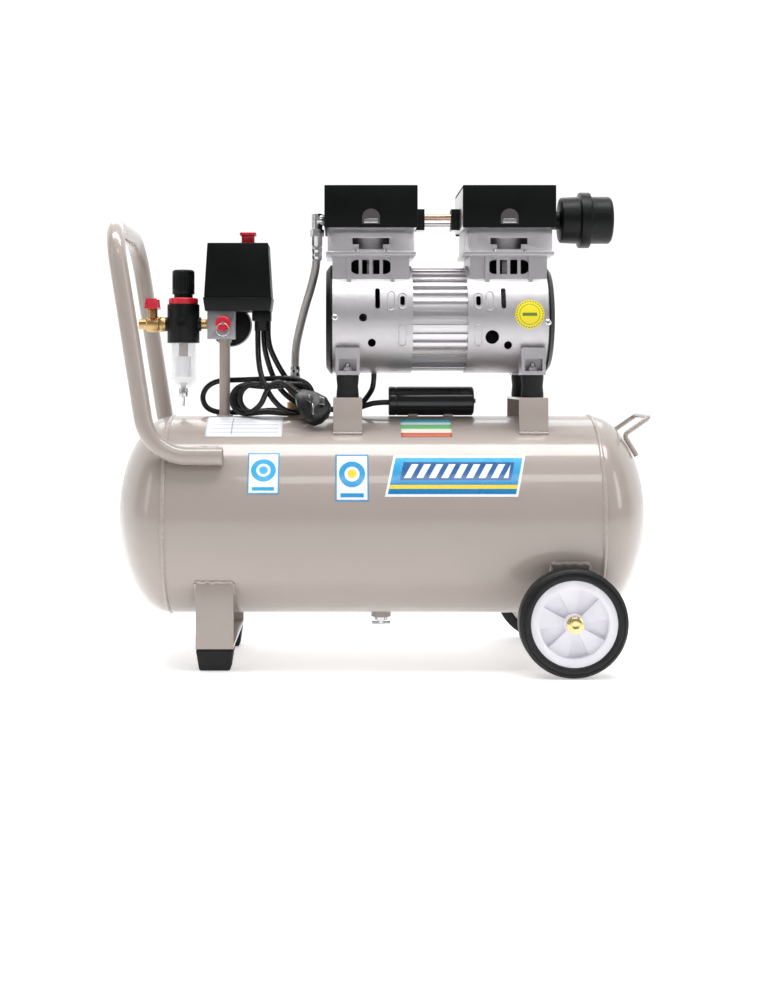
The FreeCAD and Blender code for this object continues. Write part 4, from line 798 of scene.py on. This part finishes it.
def makeWelds():
    weld = {"seam": 2.9, "bracket": 2.7, "side": 1.9, "foot": 2.2, "riser": 2.4, "handle": 2.6}
    tank = {"radius": 125, "axis": 182.5, "seam": 266}
    riser = {"x": -200, "radius": 8.6, "z": 307.2}
    bracket = {"spans": ((-61, -25), (169, 205)), "reach": 68.4}
    handle = {"x": -232, "z": 262, "half": 8.6}

    def halfWidth(level):
        return math.sqrt(max(tank["radius"] ** 2 - (level - tank["axis"]) ** 2, 1))

    for side in (-1, 1):
        around = []
        for step in range(150):
            angle = 2 * math.pi * step / 150
            reach = tank["radius"] - 0.9
            around.append((side * tank["seam"], reach * math.cos(angle), tank["axis"] + reach * math.sin(angle)))
        bead(f"seamWeld{side + 1}", around, weld["seam"], closed=True, lumps=0.10, seed=side + 5)
    straps = {"foot": (-228, -182, 107.6), "wheel": (202, 248, 131.5)}
    for name, (low, high, height) in straps.items():
        reach = halfWidth(height)
        for edge in (-1, 1):
            across = [(low + (high - low) * step / 14, edge * (reach + 0.6), height + 1.6 + math.sin(step * 1.7))
                      for step in range(15)]
            bead(f"{name}StrapWeld{edge + 1}", across, weld["bracket"], lumps=0.3, seed=edge + 9)
            for end in (low, high):
                down = []
                for step in range(7):
                    level = height - 2.6 * step
                    down.append((end, edge * (halfWidth(level) + 0.4), level))
                bead(f"{name}StrapSideWeld{edge + 1}_{end + 300}", down, weld["side"], seed=end + 300)
    ring = [(riser["x"] + riser["radius"] * math.cos(a), riser["radius"] * math.sin(a),
             riser["z"] - 0.3 * math.sin(a) ** 2) for a in [2 * math.pi * step / 16 for step in range(16)]]
    bead("riserWeld", ring, weld["riser"], closed=True, lumps=0.2, seed=21)
    height = tank["axis"] + math.sqrt(tank["radius"] ** 2 - bracket["reach"] ** 2)
    for low, high in bracket["spans"]:
        for edge in (-1, 1):
            foot = [(low + (high - low) * step / 12, edge * (bracket["reach"] + 0.2),
                     height + 0.8 + 0.5 * math.sin(step * 2.1)) for step in range(13)]
            bead(f"bracketWeld{low + 100}_{edge + 1}", foot, weld["foot"], lumps=0.25, seed=low + 140 + edge)
    for edge in (-1, 1):
        for level in (-1, 1):
            height = handle["z"] + level * handle["half"]
            half = halfWidth(height)
            run = [(handle["x"] + 3.2 * step, edge * (half + 1.1), height + 0.6 * math.sin(step * 1.9))
                   for step in range(11)]
            bead(f"handleWeld{edge + 1}_{level + 1}", run, weld["handle"], lumps=0.3, seed=40 + edge * 2 + level)


def drumRing(name, middle, centreHeight, rise, width, height, drum, edge):
    # A raised lip the shape of a slot on the side of a round case.
    half = width / 2
    straight = height / 2 - half
    outline = []
    for first, level in ((0, straight), (math.pi, -straight)):
        for step in range(9):
            angle = first + math.pi * step / 8
            outline.append((half * math.cos(angle), level + half * math.sin(angle)))
    path = []
    for across, up in outline:
        level = rise + up
        path.append((middle + across, edge * (math.sqrt(drum ** 2 - level ** 2) + 0.1), centreHeight + level))
    bead(name, path, 0.85, key="casting", closed=True, lumps=0)


def makeCaseDetails():
    case = {"x": 72, "z": 431, "radius": 68.5}
    lips = [(61, 21, 9, 24), (47, 21, 10, 20), (47, -22, 9, 26)]
    screw = [(0, 3.9), (0.5, 3.9), (1.3, 3.2), (1.6, 2.2), (0.9, 1.5), (0.85, 0.3)]
    screws = {-1: (0, -59, 431), 1: (1, 205, 425)}
    mount = {"x": (-43, 187), "y": 56, "z": 365.2}
    flange = {"x": (-33, 5, 139, 177), "y": 51.5, "z": 513.6}
    for side in (-1, 1):
        for edge in (-1, 1):
            for index, (offset, rise, width, height) in enumerate(lips):
                drumRing(f"caseLip{side + 1}{edge + 1}{index}", case["x"] + side * offset, case["z"], rise, width,
                         height, case["radius"], edge)
        index, x, z = screws[side]
        screwHead = turned(f"caseScrew{index}", screw, (x, -68.2, z), "-Y", "steel", 20)
        mirrored(screwHead, f"caseScrewBack{index}")
    for x in mount["x"]:
        for edge in (-1, 1):
            foot = (x, edge * mount["y"], mount["z"])
            turned(f"mountNut{x + 50}_{edge + 1}", [(0, 5.6), (4.2, 5.6), (5.0, 4.6)], foot, "+Z", "steel", 6)
            turned(f"mountStud{x + 50}_{edge + 1}", [(0, 3.0), (9.0, 3.0), (10.2, 2.0)], foot, "+Z", "steel", 20)
    for index, x in enumerate(flange["x"]):
        for edge in (-1, 1):
            turned(f"flangeBolt{index}_{edge + 1}", [(0, 3.6), (2.6, 3.6), (3.2, 2.8), (2.4, 2.0), (2.3, 0.4)],
                   (x, edge * flange["y"], flange["z"]), "+Z", "steel", 18)


def makePaintedShadeSheets():
    # Painted shade: dark sheets inside each crankcase, behind its rear windows and holes, darken the shaded inside.
    shadeSheet = {"radius": 64.3, "axis": 431, "around": (128, 242)}
    for name, low in (("left", -61), ("right", 115)):
        patch(f"{name}CaseLining", (low, low + 90), shadeSheet["around"], shadeSheet["radius"], shadeSheet["axis"],
              finishes["paintedShade"].material, (8, 32))
        # painted shade: a dark sheet at the back of the neck
        box(f"{name}NeckLining", (low + 13, 41.5, 481), (low + 81, 43.9, 508.8), "paintedShade", 0.4)


def makeCoverMarks():
    mark = {"width": 22, "height": 19, "floor": 547.5, "thick": 0.45}
    for name, x in (("left", -14), ("right", 158)):
        for edge in (-1, 1):
            pickNone()
            bpy.ops.mesh.primitive_circle_add(vertices=48, radius=mark["width"] / 2 * mm, fill_type="NGON")
            arch = bpy.context.object
            arch.name = f"{name}CoverMark{edge + 1}"
            lift = (mark["height"] - mark["width"] / 2) * mm
            for vertex in arch.data.vertices:
                if vertex.co.y <= 1e-6:
                    vertex.co.y = -lift
            bpy.ops.object.mode_set(mode="EDIT")
            bpy.ops.mesh.select_all(action="SELECT")
            bpy.ops.mesh.remove_doubles(threshold=0.00001)
            bpy.ops.mesh.extrude_region_move(TRANSFORM_OT_translate={"value": (0, 0, mark["thick"] * mm)})
            bpy.ops.mesh.select_all(action="SELECT")
            bpy.ops.mesh.normals_make_consistent(inside=False)
            bpy.ops.object.mode_set(mode="OBJECT")
            arch.rotation_euler = (math.radians(90), 0, 0 if edge < 0 else math.radians(180))
            arch.location = (x * mm, edge * 59.95 * mm, mark["floor"] * mm + lift)
            settle(arch)
            dress(arch, "mark")
            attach(arch, "tank")
            low, high = sorted((edge * 59.9, edge * 60.9))
            box(f"{name}CoverBar{edge + 1}", (x - 8.5, low, 548.6), (x + 8.5, high, 554), "steel", 0.3)


def makeFerrules():
    ferrule = [(0, 6.1), (2, 6.9), (6, 6.9), (7, 6.4), (11, 6.4), (12, 6.8), (14, 6.8), (15, 6.3), (17.5, 6.2),
               (18, 5.6)]
    turned("upperFerrule", ferrule, (-82, 0, 524.6), "-Z", "steel", 40)
    turned("lowerFerrule", ferrule, (-111, 34, 354.0), "+Z", "steel", 40)


def makeRelief():
    # The plug's tapered, ribbed strain relief.
    outward = Vector((-0.719, 0.347, 0.602))
    start = Vector((-104.3, -41, 334.7))
    tilt = outward.to_track_quat("Z", "Y").to_euler()
    turn = [math.degrees(angle) for angle in tilt]
    steps = [(-2, 6.6)]
    for ring in range(6):
        at = 1 + ring * 3.6
        steps += [(at, 6.2 - ring * 0.34), (at + 1.9, 6.1 - ring * 0.34), (at + 2.1, 5.3 - ring * 0.26),
                  (at + 3.3, 5.3 - ring * 0.26)]
    return turned("plugRelief", steps, start, turn, "sheath", 28)


def makeDial():
    gauge = {"x": -196, "z": 425, "face": 54.55, "lens": 57.0}
    dial = Finish("dialFace", (0.85, 0.85, 0.84), Roughness=0.45)
    x, z = dial.parts()[::2]
    across = (x - gauge["x"] * mm) * 1000.0
    up = (z - gauge["z"] * mm) * 1000.0
    reach = (across * across + up * up).root()
    # The needle's zero is at the top and it sweeps 270 degrees, so the scale's middle lies 135 degrees on.
    half = math.sqrt(0.5)
    angle = ((up - across) * half).angleFrom((up + across) * -half)
    ticks = ((angle / 9.0 + 0.5).frac() - 0.5).size() < 0.09
    strong = ((angle / 45.0 + 0.5).frac() - 0.5).size() < 0.035
    onScale = angle.size() < 136.5
    short = (reach > 18.0) * (reach < 21.0) * ticks
    tall = (reach > 15.5) * (reach < 21.0) * strong
    rim = (reach > 20.7) * (reach < 21.2)
    ink = short.either(tall).either(rim) * onScale
    dial.link("Base Color", dial.blend(ink, (0.86, 0.86, 0.85), (0.02, 0.02, 0.02)))
    dial.link("Roughness", dial.range(dial.noise(90), 0.3, 0.7, 0.4, 0.5))
    finishes["dial"] = dial
    turned("gaugeDial", [(0, 24.4), (0.3, 24.4), (0.4, 24.2)], (gauge["x"], gauge["face"], gauge["z"]), "+Y",
           "dial", 64)
    turned("gaugeLens", [(0, 24.6), (0.6, 24.6), (1.0, 20), (1.25, 12), (1.3, 3)],
           (gauge["x"], gauge["lens"], gauge["z"]), "+Y", "glass", 64)


def bannerFinish():
    banner = Finish("bannerPrint", (0.5, 0.5, 0.5), Coat_Weight=0.4, Coat_Roughness=0.1)
    u, v = banner.parts(banner.node("ShaderNodeTexCoord", out="UV"))[:2]
    y = v * 60.0
    slantX = u * 182.0 - v * 14.0
    plate = (slantX > 6.0) * (slantX < 166.0) * (y > 5.0) * (y < 55.0)
    inner = (slantX > 9.0) * (slantX < 163.0) * (y > 8.0) * (y < 52.0)
    blue = banner.ramp(v, [(0.0, (0.0, 0.13, 0.36)), (0.45, (0.0, 0.26, 0.56)), (1.0, (0.08, 0.50, 0.80))])
    stripe = (y > 14.0) * (y < 18.5)
    hatch = ((slantX - y * 0.35) / 15.0).frac() < 0.55
    bars = (y > 24.0) * (y < 46.0) * (slantX > 20.0) * (slantX < 154.0)
    edge = (y > 26.5) * (y < 43.5) * hatch * (slantX > 24.0) * (slantX < 150.0)
    color = banner.blend(inner, (0.82, 0.84, 0.86), blue)
    color = banner.blend(stripe * inner, color, (0.86, 0.62, 0.03))
    color = banner.blend(bars, color, (0.01, 0.10, 0.30))
    color = banner.blend(edge, color, (0.86, 0.87, 0.88))
    banner.link("Base Color", color)
    banner.link("Alpha", plate)
    banner.link("Roughness", banner.range(banner.noise(60), 0.3, 0.7, 0.24, 0.34))
    return banner.material


def badgeFinish(name, ground, ring, middle):
    badge = Finish(name, (0.5, 0.5, 0.5), Coat_Weight=0.3, Coat_Roughness=0.1)
    u, v = badge.parts(badge.node("ShaderNodeTexCoord", out="UV"))[:2]
    x = (u - 0.5) * 38.0
    y = (v - 0.56) * 54.0
    reach = (x * x + y * y).root()
    frame = 1.0 - ((u > 0.04) * (u < 0.96) * (v > 0.03) * (v < 0.97))
    disc = (reach > 8.6) * (reach < 15.0)
    core = reach < 5.2
    foot = (v > 0.08) * (v < 0.16) * (u > 0.15) * (u < 0.85)
    color = badge.blend(disc, ground, ring)
    color = badge.blend(core, color, middle)
    color = badge.blend(foot, color, ring)
    color = badge.blend(frame, color, ring)
    badge.link("Base Color", color)
    badge.link("Roughness", badge.range(badge.noise(60), 0.3, 0.7, 0.24, 0.34))
    return badge.material


def sheetFinish(name, ground, ink, rows):
    sheet = Finish(name, ground, Coat_Weight=0.2, Coat_Roughness=0.15)
    u, v = sheet.parts(sheet.node("ShaderNodeTexCoord", out="UV"))[:2]
    inside = (u > 0.05) * (u < 0.95) * (v > 0.08) * (v < 0.92)
    lines = ((v * rows).frac() < 0.10) * inside
    column = ((u - 0.34).size() < 0.006) * inside
    sheet.link("Base Color", sheet.blend(lines.either(column), ground, ink))
    sheet.link("Roughness", sheet.range(sheet.noise(60), 0.3, 0.7, 0.28, 0.4))
    return sheet.material


def colourBandFinish():
    bands = Finish("bandLabelPrint", (0.5, 0.5, 0.5), Coat_Weight=0.2, Coat_Roughness=0.15)
    v = bands.parts(bands.node("ShaderNodeTexCoord", out="UV"))[1]
    color = bands.ramp(v, [(0.0, (0.55, 0.10, 0.05)), (0.17, (0.55, 0.10, 0.05)), (0.18, (0.80, 0.78, 0.66)),
                           (0.36, (0.80, 0.78, 0.66)), (0.37, (0.16, 0.50, 0.22)), (0.60, (0.16, 0.50, 0.22)),
                           (0.61, (0.78, 0.84, 0.86)), (0.74, (0.78, 0.84, 0.86)), (0.75, (0.10, 0.52, 0.68)),
                           (1.0, (0.10, 0.52, 0.68))])
    bands.link("Base Color", color)
    bands.link("Roughness", bands.range(bands.noise(60), 0.3, 0.7, 0.28, 0.4))
    return bands.material


def makeStickers():
    tank = {"radius": 125.12, "axis": 182.5}
    patch("bannerSticker", (-6, 176), (12, 42), tank["radius"], tank["axis"], bannerFinish(), (40, 16))
    blue = (0.02, 0.30, 0.62)
    patch("roundMarkSticker", (-58, -18), (12, 40), tank["radius"], tank["axis"],
          badgeFinish("roundMarkPrint", (0.80, 0.83, 0.86), blue, (0.86, 0.62, 0.03)), (12, 16))
    patch("squareSticker", (-164, -126), (16, 41), tank["radius"], tank["axis"],
          badgeFinish("squareStickerPrint", (0.84, 0.87, 0.90), (0.03, 0.38, 0.68), (0.05, 0.45, 0.75)), (12, 16))
    patch("infoSticker", (-219, -124), (54, 84), tank["radius"], tank["axis"],
          sheetFinish("infoStickerPrint", (0.80, 0.81, 0.85), (0.25, 0.27, 0.36), 7.0), (24, 20))
    patch("bandSticker", (23, 86), (54, 76), tank["radius"], tank["axis"], colourBandFinish(), (16, 16))


def makeRoundSticker():
    drum = {"x": 182, "z": 435, "radius": 68.62, "axis": 431, "size": 18}
    yellow = Finish("yellowSeal", (0.8, 0.7, 0.02), Coat_Weight=0.2, Coat_Roughness=0.15)
    x, z = yellow.parts()[::2]
    across = (x - drum["x"] * mm) * 1000.0
    up = (z - drum["z"] * mm) * 1000.0
    reach = (across * across + up * up).root()
    angle = across.angleFrom(up)
    teeth = (reach > 15.4) * (reach < 16.8) * ((angle / 12.0).frac() < 0.55)
    ring = (reach > 12.2) * (reach < 12.9)
    bar = (up.size() < 2.0) * (across.size() < 9.0)
    color = yellow.blend(teeth.either(ring), (0.80, 0.68, 0.02), (0.16, 0.15, 0.03))
    yellow.link("Base Color", yellow.blend(bar, color, (0.12, 0.20, 0.05)))
    yellow.link("Roughness", yellow.range(yellow.noise(60), 0.3, 0.7, 0.30, 0.4))
    pickNone()
    bpy.ops.mesh.primitive_circle_add(vertices=48, radius=drum["size"] * mm, fill_type="NGON")
    piece = bpy.context.object
    piece.name = "yellowSticker"
    bpy.ops.object.mode_set(mode="EDIT")
    for step in range(4):
        bpy.ops.mesh.inset(thickness=drum["size"] * mm * 0.2, depth=0)
    bpy.ops.object.mode_set(mode="OBJECT")
    for vertex in piece.data.vertices:
        level = drum["z"] - drum["axis"] + vertex.co.y / mm
        deep = math.sqrt(drum["radius"] ** 2 - level ** 2)
        vertex.co = (vertex.co.x + drum["x"] * mm, -deep * mm, (drum["axis"] + level) * mm)
    wall = piece.modifiers.new("wall", "SOLIDIFY")
    wall.thickness = foil * mm
    wall.offset = 1
    applyAll(piece)
    piece.data.materials.append(yellow.material)
    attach(piece, "tank")


def makeWheelDetails():
    wheel = {"x": 225, "z": 65, "wall": 147.75, "cap": 152.9}
    for name, edge in (("near", -1), ("far", 1)):
        aim = "-Y" if edge < 0 else "+Y"
        for index, radius in enumerate((61.0, 56.2)):
            ring = [(wheel["x"] + radius * math.cos(a), edge * wheel["wall"], wheel["z"] + radius * math.sin(a))
                    for a in [2 * math.pi * step / 72 for step in range(72)]]
            bead(f"{name}TyreRing{index}", ring, 0.55, key="tyre", closed=True, lumps=0,
                 body=f"wheel_{name}")
        turned(f"{name}HubCap", [(0, 9.2), (0.5, 9.2), (1.4, 8.0), (1.6, 4.6), (1.2, 4.0), (1.15, 0.5)],
               (wheel["x"], edge * wheel["cap"], wheel["z"]), aim, "zinc", 40)


makeCoverMarks()
makeCaseDetails()
makePaintedShadeSheets()
makeFerrules()
plugRelief = makeRelief()
makeDial()
makeWelds()
makeStickers()
makeRoundSticker()
makeWheelDetails()
shadeNodes()
